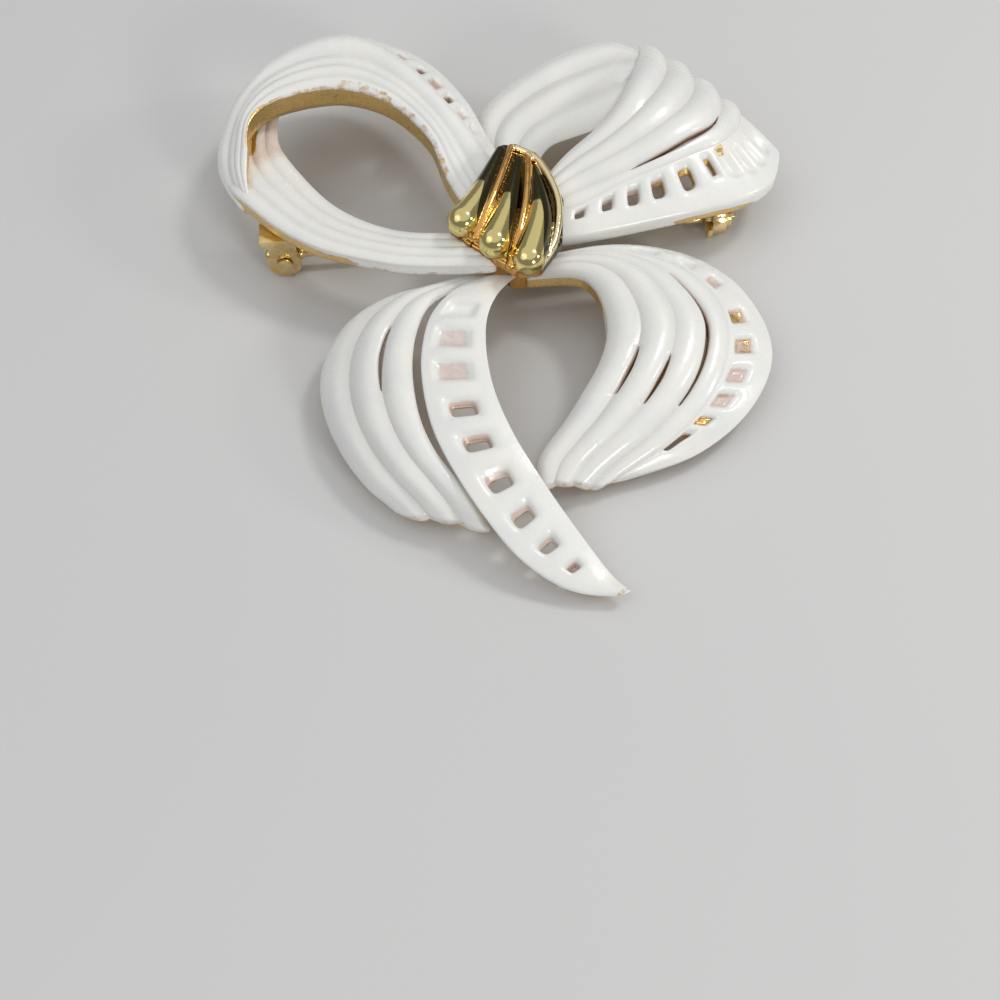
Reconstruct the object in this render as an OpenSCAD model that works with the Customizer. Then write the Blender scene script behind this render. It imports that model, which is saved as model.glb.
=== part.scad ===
/* [Left loop] */
// Reach of the left loop from the knot's centre to its left end
left_loop_w = 31.5; // [27:0.5:36]
// Reach of the left loop from the knot's centre to its far end
left_loop_l = 30; // [26:0.5:34]
// Height of the left loop's crest above its root
left_loop_rise = 4; // [3:0.1:5]

/* [Right loop] */
// Reach of the right loop from the knot's centre to its right end
right_loop_w = 31; // [27:0.5:36]
// Reach of the right loop from the knot's centre to its far end
right_loop_l = 30; // [26:0.5:34]
// Height of the right loop's crest above its root
right_loop_rise = 3.4; // [2.6:0.1:4.2]

/* [Left ribbon and tail] */
// Reach of the left ribbon from the knot's centre to the left
left_ribbon_w = 18.5; // [16:0.5:21]
// Reach of the pierced tail from the knot's centre to its tip
tail_l = 40; // [35:0.5:45]

/* [Right ribbon] */
// Reach of the right ribbon from the knot's centre to the right
right_ribbon_w = 27; // [24:0.5:30]
// Reach of the right ribbon from the knot's centre to its lower end
right_ribbon_l = 29.5; // [26:0.5:33]

/* [Casting] */
// Height of the loops' roots above the table
loop_root_z = 8; // [7.4:0.1:9]
// How far the ribbons' roots lie below the loops' roots
ribbon_drop = 3; // [2.6:0.1:3.4]
// Height of the ribbons' crest above their root
ribbon_rise = 2; // [1.5:0.1:2.6]
// Thickness of the cast metal with its enamel
wall = 1.2; // [0.9:0.05:1.5]
// Depth of the rolled edge along the outside of a strand
rim_drop = 1.5; // [1.2:0.05:1.9]
// Depth of the bare inner wall of the left loop
inner_drop = 2.1; // [1.6:0.05:2.6]
// Height of a rib as a share of its own width
rib_share = 0.14; // [0.08:0.01:0.2]
// Depth of the scallops at the left ribbon's lower end
left_scallop = 0.6; // [0:0.1:0.9]
// Depth of the scallops at the right ribbon's lower end
right_scallop = 0.2; // [0:0.1:0.3]
// Depth of the scallops along the right loop's fold
fold_scallop = 0.2; // [0:0.1:0.8]
// Gap between castings, and between a casting and what is seated on it
seat_gap = 0.3; // [0.2:0.05:0.4]

/* [Pierced work] */
// Corner radius of a window
window_corner = 0.35; // [0.2:0.05:0.5]
// Width of a slit between two ribs
slit_w = 0.4; // [0.3:0.05:0.6]
// Depth of a window that the enamel has filled
blind_depth = 0.6; // [0.4:0.05:0.8]

/* [Knot] */
// Width of the knot
knot_w = 11.4; // [10:0.2:13]
// Length of the knot from its point to its broad end
knot_l = 18.4; // [16:0.2:20]
// Height of the knot's three lobes above its plate
knot_h = 2.7; // [2.2:0.1:3.2]
// Thickness of the knot's plate
knot_plate_t = 1.1; // [0.8:0.1:1.5]
// Forward lean of the knot
knot_lean = 6; // [3:0.5:9]
// Radius of a lobe at its broad end
lobe_r = 1.6; // [1.4:0.05:1.8]
// Radius of a lobe at its point
lobe_tip_r = 0.55; // [0.4:0.05:0.7]
// Radius of the raised strips between the lobes and along the right edge
strip_r = 0.42; // [0.3:0.02:0.5]

/* [Pin] */
// Radius of the pin's stem
stem_r = 0.45; // [0.35:0.05:0.55]
// How far the stem's point reaches past the catch
stem_past_catch = 2.4; // [1.5:0.1:4]
// Length of the stem's point
point_l = 5; // [3:0.5:6]
// Radius of the stem's blunted tip
point_r = 0.1; // [0.05:0.01:0.15]
// Radius of the stem's eye
eye_r = 1.2; // [1.05:0.05:1.3]
// Width of the stem's eye along the rivet
eye_w = 1.4; // [1.1:0.1:1.8]
// Radius of the round heel and collar on the stem
bead_r = 0.7; // [0.6:0.05:0.8]

/* [Hinge] */
// Radius of the bracket's ears, and so the height of the pin above the table
ear_r = 1.8; // [1.6:0.05:2.2]
// Thickness of an ear
ear_t = 0.7; // [0.5:0.1:1]
// Radius of the rivet
rivet_r = 0.5; // [0.4:0.05:0.6]
// Radius of the rivet's heads
rivet_head_r = 0.85; // [0.75:0.05:1]
// Height of the rivet's heads
rivet_head_t = 0.35; // [0.25:0.05:0.5]
// Running clearance on the radius of a turning fit
running_fit = 0.06; // [0.03:0.01:0.09]
// Free space beside the eye, each side
side_play = 0.12; // [0.08:0.02:0.2]
// Length of the bracket's plate along the pin
bracket_l = 4.4; // [3.8:0.2:5.2]

/* [Catch] */
// Length of the catch's housing along the pin
housing_l = 1.6; // [1.2:0.1:2.4]
// Wall of the housing
housing_t = 0.5; // [0.4:0.05:0.6]
// Radial space between the stem and the roller
stem_play = 0.15; // [0.1:0.01:0.2]
// Thickness of the roller's lever
lever_t = 0.55; // [0.4:0.05:0.7]
// Reach of the lever from the pin's axis
lever_reach = 2.5; // [2.3:0.1:2.8]
// Length of the catch's plate along the pin
catch_plate_l = 3.6; // [3:0.2:4.4]

/* [Hidden] */

// Fineness of the exact round faces and of the small faceted ones
round_fn = 48;
cutter_fn = 8;
bead_fn = 32;
lobe_fn = 16;
strip_fn = 8;

// Height of the ribbons' roots, and of the pin, whose ears and housing stand on the table
ribbon_root_z = loop_root_z - ribbon_drop;
pin_z = ear_r;

// Depth of a strand's core below its section as a share of the section's width, and the greatest
// share of the way to that core that its back takes
core_share = 0.45;
back_share = 0.5;

// Place of the knot's centre, so that the frame's origin is under the middle of the brooch
knot_x = (left_loop_w - right_loop_w) / 2;
knot_y = (tail_l - left_loop_l) / 2;

// Power that shapes a rib's arch: the smaller, the flatter its top and the narrower its crease
rib_fullness = 0.65;

// Arithmetic on points
function mix(a, b, t) = a + (b - a) * t;
function unit(v) = v / max(norm(v), 0.000001);

// Smooth curve through the rows of a table, with u from 0 at the first row to 1 at the last
function blend4(a, b, c, d, t) =
    0.5 * (2 * b + (c - a) * t + (2 * a - 5 * b + 4 * c - d) * t * t + (3 * b - a - 3 * c + d) * t * t * t);
function along(rows, u) =
    let (last = len(rows) - 1, s = min(floor(u * last), last - 1), t = u * last - s)
    blend4(rows[max(s - 1, 0)], rows[s], rows[s + 1], rows[min(s + 2, last)], t);

// Height of a level: 0 is the table, 1 the root and 2 the crest
function level_z(level, root, rise) = level < 1 ? level * root : root + (level - 1) * rise;

// A table of shares turned into points: x and y as shares of two reaches, z as a level
function scaled(rows, reach_x, reach_y, root, rise) =
    [for (row = rows) [for (p = row)
        [knot_x + p[0] * reach_x, knot_y + p[1] * reach_y, level_z(p[2], root, rise)]]];

// Sections of the left loop's upper strand, from the knot round to the left end.
// Columns: outer rim x, y, level; crest x, y, level; inner ridge x, y, level
left_over = [
    [[-0.006, 0.333, 0.85], [0.016, 0.217, 1.05], [0.137, 0.083, 1.00]],
    [[0.057, 0.473, 0.90], [0.076, 0.347, 1.25], [0.203, 0.200, 1.25]],
    [[0.140, 0.667, 0.98], [0.190, 0.493, 1.68], [0.260, 0.350, 1.53]],
    [[0.279, 0.873, 1.00], [0.324, 0.667, 1.93], [0.390, 0.493, 1.75]],
    [[0.460, 0.990, 1.00], [0.492, 0.827, 2.00], [0.533, 0.557, 1.85]],
    [[0.660, 0.985, 1.00], [0.651, 0.840, 2.00], [0.667, 0.553, 1.85]],
    [[0.873, 0.860, 0.95], [0.832, 0.733, 1.80], [0.800, 0.500, 1.78]],
    [[0.980, 0.650, 0.85], [0.940, 0.573, 1.45], [0.868, 0.410, 1.65]],
    [[0.992, 0.427, 0.75], [0.990, 0.400, 1.00], [0.868, 0.308, 1.45]],
    [[0.965, 0.253, 0.70], [0.971, 0.247, 0.88], [0.866, 0.212, 1.22]],
    [[0.876, 0.127, 0.70], [0.889, 0.113, 0.83], [0.852, 0.122, 1.00]]];

// Sections of the left loop's lower strand, from under the upper strand to the knot.
// Columns: outer edge x, y, level; inner edge x, y, level
left_under = [
    [[0.965, 0.400, 0.90], [0.800, 0.640, 0.95]],
    [[0.955, 0.270, 0.90], [0.800, 0.467, 0.88]],
    [[0.925, 0.173, 0.95], [0.749, 0.360, 0.86]],
    [[0.854, 0.087, 1.00], [0.679, 0.253, 0.86]],
    [[0.743, -0.020, 0.96], [0.590, 0.133, 0.88]],
    [[0.597, -0.117, 0.96], [0.483, 0.043, 0.90]],
    [[0.438, -0.173, 0.98], [0.356, -0.020, 0.93]],
    [[0.286, -0.207, 0.99], [0.235, -0.047, 0.98]],
    [[0.030, -0.195, 0.97], [0.010, -0.045, 1.00]]];

// Sections of the right loop's front strand, from the knot to the fold.
// Columns: lower rim x, y, level; ladder border x, y, level; slit x, y, level; upper border x, y, level
right_front = [
    [[0.110, -0.047, 0.86], [0.123, 0.040, 0.98], [0.123, 0.073, 1.00], [0.110, 0.173, 1.00]],
    [[0.232, -0.027, 0.88], [0.258, 0.087, 1.03], [0.258, 0.143, 1.18], [0.206, 0.300, 1.29]],
    [[0.371, 0.007, 0.88], [0.394, 0.160, 1.29], [0.387, 0.193, 1.38], [0.310, 0.393, 1.62]],
    [[0.516, 0.050, 0.88], [0.523, 0.217, 1.44], [0.523, 0.260, 1.59], [0.387, 0.487, 1.88]],
    [[0.677, 0.100, 0.88], [0.652, 0.290, 1.47], [0.639, 0.337, 1.68], [0.432, 0.587, 2.00]],
    [[0.826, 0.163, 0.85], [0.761, 0.367, 1.38], [0.729, 0.427, 1.59], [0.465, 0.697, 1.88]],
    [[0.942, 0.273, 0.80], [0.829, 0.480, 1.15], [0.771, 0.547, 1.35], [0.497, 0.833, 1.53]],
    [[0.990, 0.440, 0.75], [0.860, 0.605, 0.90], [0.790, 0.680, 0.94], [0.510, 0.985, 0.98]]];

// Sections of the right loop's back strand, from the knot to under the fold.
// Columns: inner edge x, y, level; far edge x, y, level
right_back = [
    [[0.097, 0.233, 0.63], [0.029, 0.317, 0.61]],
    [[0.116, 0.367, 0.70], [-0.110, 0.500, 0.60]],
    [[0.161, 0.433, 0.83], [-0.080, 0.690, 0.72]],
    [[0.239, 0.460, 0.90], [0.106, 0.853, 0.95]],
    [[0.329, 0.493, 0.95], [0.258, 0.940, 1.06]],
    [[0.406, 0.553, 1.05], [0.394, 0.990, 1.06]],
    [[0.490, 0.640, 1.15], [0.490, 0.950, 1.00]],
    [[0.590, 0.680, 1.40], [0.555, 0.880, 1.02]]];

// Sections of the left ribbon, from the knot to its lower end.
// Columns: outer edge x, y, level; border beside the tail x, y, level
left_ribs = [
    [[0.141, 0.103, 0.86], [0.032, 0.122, 0.98]],
    [[0.400, 0.142, 0.86], [0.254, 0.180, 1.30]],
    [[0.659, 0.183, 0.86], [0.400, 0.257, 1.80]],
    [[0.854, 0.245, 0.78], [0.459, 0.340, 1.90]],
    [[0.962, 0.335, 0.66], [0.476, 0.430, 1.90]],
    [[0.989, 0.430, 0.58], [0.459, 0.520, 1.80]],
    [[0.941, 0.535, 0.54], [0.416, 0.605, 1.60]],
    [[0.832, 0.640, 0.48], [0.346, 0.680, 1.30]],
    [[0.703, 0.720, 0.42], [0.238, 0.745, 0.94]],
    [[0.616, 0.755, 0.38], [0.151, 0.790, 0.68]],
    [[0.551, 0.780, 0.34], [0.097, 0.825, 0.36]]];

// Sections of the pierced tail, from the knot to its tip.
// Columns: left rim x, y, level; right rim x, y, level
tail_band = [
    [[0.141, 0.135, 1.30], [-0.076, 0.125, 1.30]],
    [[0.292, 0.210, 1.95], [0.032, 0.215, 1.90]],
    [[0.405, 0.300, 2.10], [0.092, 0.305, 2.00]],
    [[0.443, 0.415, 2.10], [0.092, 0.415, 2.00]],
    [[0.427, 0.523, 2.05], [0.049, 0.525, 1.90]],
    [[0.373, 0.630, 1.85], [-0.038, 0.630, 1.65]],
    [[0.270, 0.730, 1.50], [-0.146, 0.718, 1.25]],
    [[0.119, 0.833, 0.94], [-0.270, 0.798, 0.82]],
    [[-0.065, 0.925, 0.60], [-0.416, 0.883, 0.50]],
    [[-0.303, 0.985, 0.34], [-0.524, 0.945, 0.32]],
    [[-0.562, 0.995, 0.29], [-0.605, 0.980, 0.29]]];

// Sections of the right ribbon, from the knot to its lower end.
// Columns: inner edge x, y, level; slit x, y, level; ladder border x, y, level; outer rim x, y, level
right_ribs = [
    [[0.080, 0.180, 1.15], [0.095, 0.115, 1.35], [0.102, 0.100, 1.30], [0.108, 0.085, 1.15]],
    [[0.252, 0.203, 1.70], [0.356, 0.108, 1.95], [0.385, 0.085, 1.80], [0.400, 0.034, 1.45]],
    [[0.326, 0.258, 1.80], [0.559, 0.166, 2.00], [0.630, 0.142, 1.75], [0.674, 0.044, 1.05]],
    [[0.363, 0.359, 1.75], [0.674, 0.278, 1.90], [0.763, 0.251, 1.60], [0.867, 0.142, 0.86]],
    [[0.367, 0.468, 1.65], [0.733, 0.400, 1.75], [0.815, 0.373, 1.45], [0.970, 0.292, 0.72]],
    [[0.333, 0.576, 1.50], [0.722, 0.522, 1.60], [0.811, 0.508, 1.25], [0.996, 0.447, 0.64]],
    [[0.274, 0.678, 1.25], [0.674, 0.637, 1.35], [0.759, 0.637, 1.05], [0.948, 0.590, 0.56]],
    [[0.204, 0.783, 0.96], [0.593, 0.742, 1.00], [0.674, 0.753, 0.88], [0.837, 0.732, 0.48]],
    [[0.144, 0.854, 0.82], [0.489, 0.837, 0.82], [0.563, 0.844, 0.70], [0.681, 0.844, 0.40]],
    [[0.104, 0.915, 0.66], [0.370, 0.915, 0.58], [0.444, 0.908, 0.50], [0.526, 0.902, 0.38]],
    [[0.096, 0.983, 0.47], [0.304, 0.963, 0.40], [0.363, 0.946, 0.36], [0.407, 0.932, 0.36]]];

// Windows of each ladder. Columns: place as a row number of its strand's table, place across the
// band as a share, width along the strand as a share of one row's spacing, height as a share of the
// band, 1 if cut through
left_loop_windows = [
    [1.40, 0.72, 0.24, 0.48, 0], [1.76, 0.70, 0.26, 0.48, 0],
    [2.16, 0.70, 0.26, 0.50, 1], [2.54, 0.70, 0.26, 0.50, 0], [2.92, 0.70, 0.26, 0.50, 1],
    [3.34, 0.68, 0.28, 0.46, 0], [3.82, 0.66, 0.28, 0.44, 0], [4.32, 0.66, 0.28, 0.44, 0]];
right_loop_windows = [
    [1.04, 0.68, 0.34, 0.44, 1], [1.74, 0.64, 0.38, 0.50, 1], [2.40, 0.60, 0.42, 0.58, 1],
    [3.04, 0.61, 0.42, 0.60, 1], [3.76, 0.61, 0.42, 0.64, 1], [4.44, 0.72, 0.24, 0.46, 1],
    [4.95, 0.64, 0.12, 0.58, 0], [5.45, 0.58, 0.12, 0.62, 0], [5.95, 0.54, 0.12, 0.58, 0],
    [6.45, 0.50, 0.12, 0.50, 0]];
tail_windows = [
    [1.75, 0.50, 0.56, 0.58, 0], [2.60, 0.48, 0.60, 0.60, 0],
    [3.50, 0.48, 0.60, 0.58, 0], [4.44, 0.50, 0.62, 0.56, 1], [5.32, 0.49, 0.62, 0.54, 1],
    [6.27, 0.48, 0.64, 0.52, 1], [7.08, 0.47, 0.54, 0.50, 1], [7.78, 0.50, 0.42, 0.44, 1],
    [8.44, 0.56, 0.32, 0.36, 1]];
right_ribbon_windows = [
    [1.55, 0.36, 0.36, 0.46, 0], [2.22, 0.34, 0.36, 0.46, 0], [2.90, 0.38, 0.38, 0.48, 0],
    [3.98, 0.34, 0.50, 0.48, 0], [4.85, 0.36, 0.52, 0.50, 0], [5.72, 0.34, 0.52, 0.48, 0],
    [6.46, 0.32, 0.46, 0.46, 0], [7.10, 0.26, 0.30, 0.40, 0], [7.80, 0.16, 0.90, 0.24, 1]];

// Share of the left loop's ribs that its wide rib takes
wide_rib_share = 0.4;

// Width of the right loop's slit as a share of the ribbons' slits
loop_slit_share = 1.8;

// A table of points with one more rail, at share v between rail k and the next
function with_rail(rows, k, v) =
    [for (r = rows) [for (i = [0:len(r)]) i <= k ? r[i] : i == k + 1 ? mix(r[k], r[k + 1], v) : r[i - 1]]];

left_over_pts = with_rail(
    scaled(left_over, -left_loop_w, left_loop_l, loop_root_z, left_loop_rise), 1, wide_rib_share);
left_under_pts = scaled(left_under, -left_loop_w, left_loop_l, loop_root_z, left_loop_rise);
right_front_pts = scaled(right_front, right_loop_w, right_loop_l, loop_root_z, right_loop_rise);
right_back_pts = scaled(right_back, right_loop_w, right_loop_l, loop_root_z, right_loop_rise);
left_ribs_pts = scaled(left_ribs, -left_ribbon_w, -tail_l, ribbon_root_z, ribbon_rise);
tail_pts = scaled(tail_band, -left_ribbon_w, -tail_l, ribbon_root_z, ribbon_rise);
right_ribs_pts = scaled(right_ribs, right_ribbon_w, -right_ribbon_l, ribbon_root_z, ribbon_rise);

// A panel lies between two rails of a strand: number of ribs, facets per rib, crown of the whole panel
plain_edge = [0, 1, 0];

// Share of the way from u0 to u1, kept between 0 and 1
function ramp(u, u0, u1) = min(max((u - u0) / (u1 - u0), 0), 1);

// Depth of a rolled edge at u: one size, or [first size, next size, u where it starts to change, u where
// that ends], which may go on with one more size, start and end
function edge_depth(d, u) =
    !is_list(d) ? d
    : let (next = mix(d[0], d[1], ramp(u, d[2], d[3]))) len(d) == 4 ? next : mix(next, d[4], ramp(u, d[5], d[6]));

// Rails of a strand at u, with a rolled edge hung below its first or last rail
function rails_at(rows, u, first_drop, last_drop) =
    let (r = along(rows, u), n = len(r) - 1)
    concat(first_drop == 0 ? [] : [r[0] - [0, 0, edge_depth(first_drop, u)]], r,
           last_drop == 0 ? [] : [r[n] - [0, 0, edge_depth(last_drop, u)]]);

// Points of one section before its ribs are raised, each with its rib's height and rounding there
function section(rails, panels) =
    [for (k = [0:len(panels) - 1])
        let (ribs = max(panels[k][0], 1), cols = ribs * panels[k][1])
        for (j = [k == 0 ? 0 : 1:cols])
            let (v = j / cols, phase = v * ribs - floor(v * ribs),
                 width = norm(rails[k + 1] - rails[k]) / ribs,
                 rounding = panels[k][0] == 0 ? 0 : sin(180 * phase))
            [mix(rails[k], rails[k + 1], v) + [0, 0, panels[k][2] * 4 * v * (1 - v)],
             rib_share * width * pow(rounding, rib_fullness), rounding]];

// Outward direction of the surface at one point of the grid
function facing(grid, i, j) =
    let (ni = len(grid) - 1, nj = len(grid[0]) - 1,
         du = grid[min(i + 1, ni)][j][0] - grid[max(i - 1, 0)][j][0],
         dv = grid[i][min(j + 1, nj)][0] - grid[i][max(j - 1, 0)][0])
    unit(cross(du, dv));

// Point below the middle of a section, towards which its back is set in
function core_of(rails) =
    let (a = rails[0], b = rails[len(rails) - 1])
    mix(a, b, 0.5) - [0, 0, core_share * norm(b - a)];

// A point moved towards the core by the thickness of the wall, or less where the strand is narrow
function set_in(p, core) = p + unit(core - p) * min(wall, back_share * norm(core - p));

// A strand: a ribbed sheet with a back, swept through its table of sections. Its ribs end in
// scallops of the given depth
module strand(rows, panels, steps, first_drop = 0, last_drop = 0, scallop = 0) {
    last = len(rows) - 1;
    onward = unit(rows[last][0] - rows[last - 1][0]);
    flat_grid = [for (i = [0:steps]) section(rails_at(rows, i / steps, first_drop, last_drop), panels)];
    grid = [for (i = [0:steps]) [for (p = flat_grid[i])
        [p[0] + onward * scallop * pow(i / steps, 6) * p[2], p[1]]]];
    nj = len(grid[0]);
    ni = steps + 1;
    front = [for (i = [0:ni - 1]) for (j = [0:nj - 1]) grid[i][j][0] + facing(grid, i, j) * grid[i][j][1]];
    cores = [for (i = [0:steps]) core_of(rails_at(rows, i / steps, first_drop, last_drop))];
    back = [for (i = [0:steps]) for (p = grid[i]) set_in(p[0], cores[i])];
    size = ni * nj;
    function at(i, j) = i * nj + j;
    skin = [for (i = [0:ni - 2]) for (j = [0:nj - 2])
        [at(i, j), at(i, j + 1), at(i + 1, j + 1), at(i + 1, j)]];
    lining = [for (i = [0:ni - 2]) for (j = [0:nj - 2])
        [size + at(i, j), size + at(i + 1, j), size + at(i + 1, j + 1), size + at(i, j + 1)]];
    sides = [for (i = [0:ni - 2]) each [
        [at(i, 0), at(i + 1, 0), size + at(i + 1, 0), size + at(i, 0)],
        [at(i + 1, nj - 1), at(i, nj - 1), size + at(i, nj - 1), size + at(i + 1, nj - 1)]]];
    ends = [for (j = [0:nj - 2]) each [
        [at(0, j + 1), at(0, j), size + at(0, j), size + at(0, j + 1)],
        [at(ni - 1, j), at(ni - 1, j + 1), size + at(ni - 1, j + 1), size + at(ni - 1, j)]]];
    polyhedron(points = concat(front, back), faces = concat(skin, lining, sides, ends), convexity = 12);
}

// Children set at a point of a strand: X along the strand, Y across it, Z out of its face
module on_strand(rows, u, rail_a, rail_b, v) {
    here = along(rows, u);
    ahead = along(rows, min(u + 0.01, 1));
    behind = along(rows, max(u - 0.01, 0));
    place = mix(here[rail_a], here[rail_b], v);
    run = unit(mix(ahead[rail_a], ahead[rail_b], v) - mix(behind[rail_a], behind[rail_b], v));
    out = unit(cross(run, here[rail_b] - here[rail_a]));
    side = cross(out, run);
    multmatrix([[run[0], side[0], out[0], place[0]], [run[1], side[1], out[1], place[1]],
                [run[2], side[2], out[2], place[2]], [0, 0, 0, 1]])
        children();
}

// Cutters for the windows of a ladder that lies between two rails
module windows(rows, list, rail_a, rail_b) {
    last = len(rows) - 1;
    for (w = list) {
        u = w[0] / last;
        here = along(rows, u);
        pitch = norm(mix(along(rows, u + 0.5 / last)[rail_a], along(rows, u + 0.5 / last)[rail_b], 0.5)
                     - mix(along(rows, u - 0.5 / last)[rail_a], along(rows, u - 0.5 / last)[rail_b], 0.5));
        half_x = w[2] * pitch / 2;
        half_y = w[3] * norm(here[rail_b] - here[rail_a]) / 2;
        corner_r = min(window_corner, 0.8 * half_x, 0.8 * half_y);
        floor_z = w[4] == 1 ? -2.5 * wall : -blind_depth;
        on_strand(rows, u, rail_a, rail_b, w[1])
            hull()
                for (sx = [-1, 1], sy = [-1, 1])
                    translate([sx * (half_x - corner_r), sy * (half_y - corner_r), floor_z])
                        cylinder(r = corner_r, h = 2 * wall - floor_z, $fn = cutter_fn);
    }
}

// Cutter for a slit along a valley, from row u0 to row u1, with the valley at share v between two rails
module slit(rows, u0, u1, rail_a, rail_b, v, pieces = 8, widest = slit_w) {
    last = len(rows) - 1;
    for (i = [0:pieces - 1])
        hull()
            for (k = [i, i + 1]) {
                taper = 1 - 0.8 * abs(2 * k / pieces - 1);
                on_strand(rows, mix(u0, u1, k / pieces) / last, rail_a, rail_b, v)
                    translate([0, 0, -2.5 * wall])
                        cylinder(d = widest * taper, h = 4 * wall, $fn = cutter_fn);
            }
}

// Corners of the knot's plate as shares of its half width and of its length from the broad end.
// Columns: x, y
knot_corners = [[-0.84, 0.34], [-0.58, 0.25], [0.28, 0.06], [0.54, 0.07], [0.88, 0.24],
                [0.92, 0.52], [0.48, 0.84], [0.00, 0.89]];

// The knot's three lobes. Columns: point x, y; middle x, y; broad end x, y; height share of the broad end
knot_lobes = [
    [[-0.08, 0.88], [-0.44, 0.52], [-0.75, 0.315], 1.00],
    [[0.25, 0.81], [0.05, 0.43], [-0.19, 0.17], 1.00],
    [[0.52, 0.74], [0.62, 0.38], [0.41, 0.06], 0.90]];

// Share of a lobe's greatest radius that it has at its middle
lobe_middle_share = 0.8;

// Height of a lobe's middle, and of the core under its broad end, as shares of the lobes' height
lobe_middle_h = 0.7;
lobe_core_h = 0.75;

// The knot's raised strips, two between the lobes and one along the right edge.
// Columns of each point: x, y, height above the plate as a share of the lobes' height
knot_strips = [
    [[0.12, 0.89, 0.10], [-0.17, 0.52, 0.50], [-0.53, 0.21, 0.30]],
    [[0.43, 0.82, 0.10], [0.36, 0.42, 0.50], [0.09, 0.03, 0.25]],
    [[0.20, 0.89, 0.10], [0.62, 0.78, 0.15], [0.95, 0.50, 0.20], [0.88, 0.22, 0.15], [0.60, 0.05, 0.10]]];

knot_half_w = knot_w / 2;
knot_broad_y = -0.41 * knot_l;
knot_corner_r = 0.8;
knot_block_inset = 1.9;
knot_block_h = knot_plate_t + loop_root_z - ribbon_root_z;

function knot_xy(p) = [p[0] * knot_half_w, knot_broad_y + p[1] * knot_l];

// Frame of the knot: its plate's underside, leaning forward
module knot_place() {
    translate([knot_x, knot_y, loop_root_z])
        rotate([knot_lean, 0, 0])
            children();
}

// Outline of the knot's plate, grown by a margin
module knot_plate(grow, low, high) {
    hull()
        for (c = knot_corners)
            translate([knot_xy(c)[0], knot_xy(c)[1], low])
                cylinder(r = knot_corner_r + grow, h = high - low, $fn = lobe_fn);
}

// Block under the plate, against which the roots of the loops and ribbons end
module knot_block(grow) {
    hull()
        for (c = knot_corners)
            translate([knot_xy(c)[0] * (1 - knot_block_inset / knot_half_w),
                       mix(knot_xy(c)[1], knot_broad_y + 0.45 * knot_l, 2 * knot_block_inset / knot_l), -knot_block_h])
                cylinder(r = grow + 0.5, h = knot_block_h + 0.1, $fn = lobe_fn);
}

// Space that the castings leave for the knot
module knot_room() {
    knot_place() {
        knot_plate(seat_gap, -seat_gap, knot_h + 2 * lobe_r);
        knot_block(seat_gap);
    }
}

function lobe_point(p, z) = concat(knot_xy(p), [z]);

// One pear-shaped lobe, which rises from its point over the middle to its broad end
module knot_lobe(row) {
    radii = [lobe_tip_r, lobe_middle_share * lobe_r, lobe_r];
    crest = knot_plate_t + knot_h;
    points = [lobe_point(row[0], knot_plate_t),
              lobe_point(row[1], knot_plate_t + lobe_middle_h * knot_h - radii[1]),
              lobe_point(row[2], mix(knot_plate_t, crest - lobe_r, row[3]))];
    for (k = [0, 1])
        hull()
            for (e = [k, k + 1])
                translate(points[e])
                    sphere(r = radii[e], $fn = lobe_fn);
}

// Core that fills the knot between its plate and its lobes
module knot_core() {
    hull()
        for (row = knot_lobes) {
            tops = [knot_plate_t, lobe_middle_h * knot_h, lobe_core_h * knot_h * row[3]];
            for (k = [0:2])
                translate(concat(knot_xy(row[k]), [knot_plate_t / 2]))
                    cylinder(r = lobe_tip_r, h = tops[k] - lobe_tip_r, $fn = cutter_fn);
        }
}

// Raised strip through a row of points
module knot_strip(row) {
    for (k = [0:len(row) - 2])
        hull()
            for (p = [row[k], row[k + 1]])
                translate(lobe_point(p, knot_plate_t + p[2] * knot_h))
                    sphere(r = strip_r, $fn = strip_fn);
}

module loop_upper_left() {
    color("white")
        difference() {
            union() {
                strand(left_over_pts, [[0, 2, 0], [1, 4, 0], [3, 3, 0.3], plain_edge],
                       28, 0, [inner_drop, wall, 0.55, 0.8]);
                strand(left_under_pts, [plain_edge, [4, 3, 0.4]], 20, [wall, rim_drop, 0.1, 0.4, wall, 0.55, 0.75]);
            }
            windows(left_over_pts, left_loop_windows, 0, 1);
            knot_room();
        }
}

module loop_upper_right() {
    color("white")
        difference() {
            union() {
                strand(right_front_pts, [plain_edge, [0, 2, 0.2], [1, 2, 0], [3, 4, 0.5], plain_edge],
                       21, rim_drop, rim_drop, fold_scallop);
                strand(right_back_pts, [[3, 4, 0.6]], 13);
            }
            windows(right_front_pts, right_loop_windows, 0, 1);
            slit(right_front_pts, 2.35, 5.25, 2, 3, 0, 5, loop_slit_share * slit_w);
            knot_room();
        }
}

module ribbon_lower_left() {
    color("white")
        difference() {
            union() {
                strand(left_ribs_pts, [[3, 4, 1.0]], 24, 0, 0, left_scallop);
                strand(tail_pts, [[0, 4, 0.4]], 22);
            }
            windows(tail_pts, tail_windows, 0, 1);
            slit(left_ribs_pts, 3.2, 5.2, 0, 1, 0.667);
            knot_room();
        }
}

module ribbon_lower_right() {
    color("white")
        difference() {
            strand(right_ribs_pts, [plain_edge, [3, 4, 1.0], [1, 3, 0], [0, 2, 0.2]], 24, rim_drop, 0, right_scallop);
            windows(right_ribs_pts, right_ribbon_windows, 2, 3);
            slit(right_ribs_pts, 2.4, 6.8, 1, 2, 0, 6);
            slit(right_ribs_pts, 4.8, 6.4, 0, 1, 0.333, 5);
            slit(right_ribs_pts, 5.2, 6.8, 0, 1, 0.667, 5);
            knot_room();
        }
}

module knot() {
    color("gold")
        knot_place() {
            knot_plate(0, 0, knot_plate_t);
            knot_block(0);
            knot_core();
            for (row = knot_lobes)
                knot_lobe(row);
            for (row = knot_strips)
                knot_strip(row);
        }
}

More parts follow.
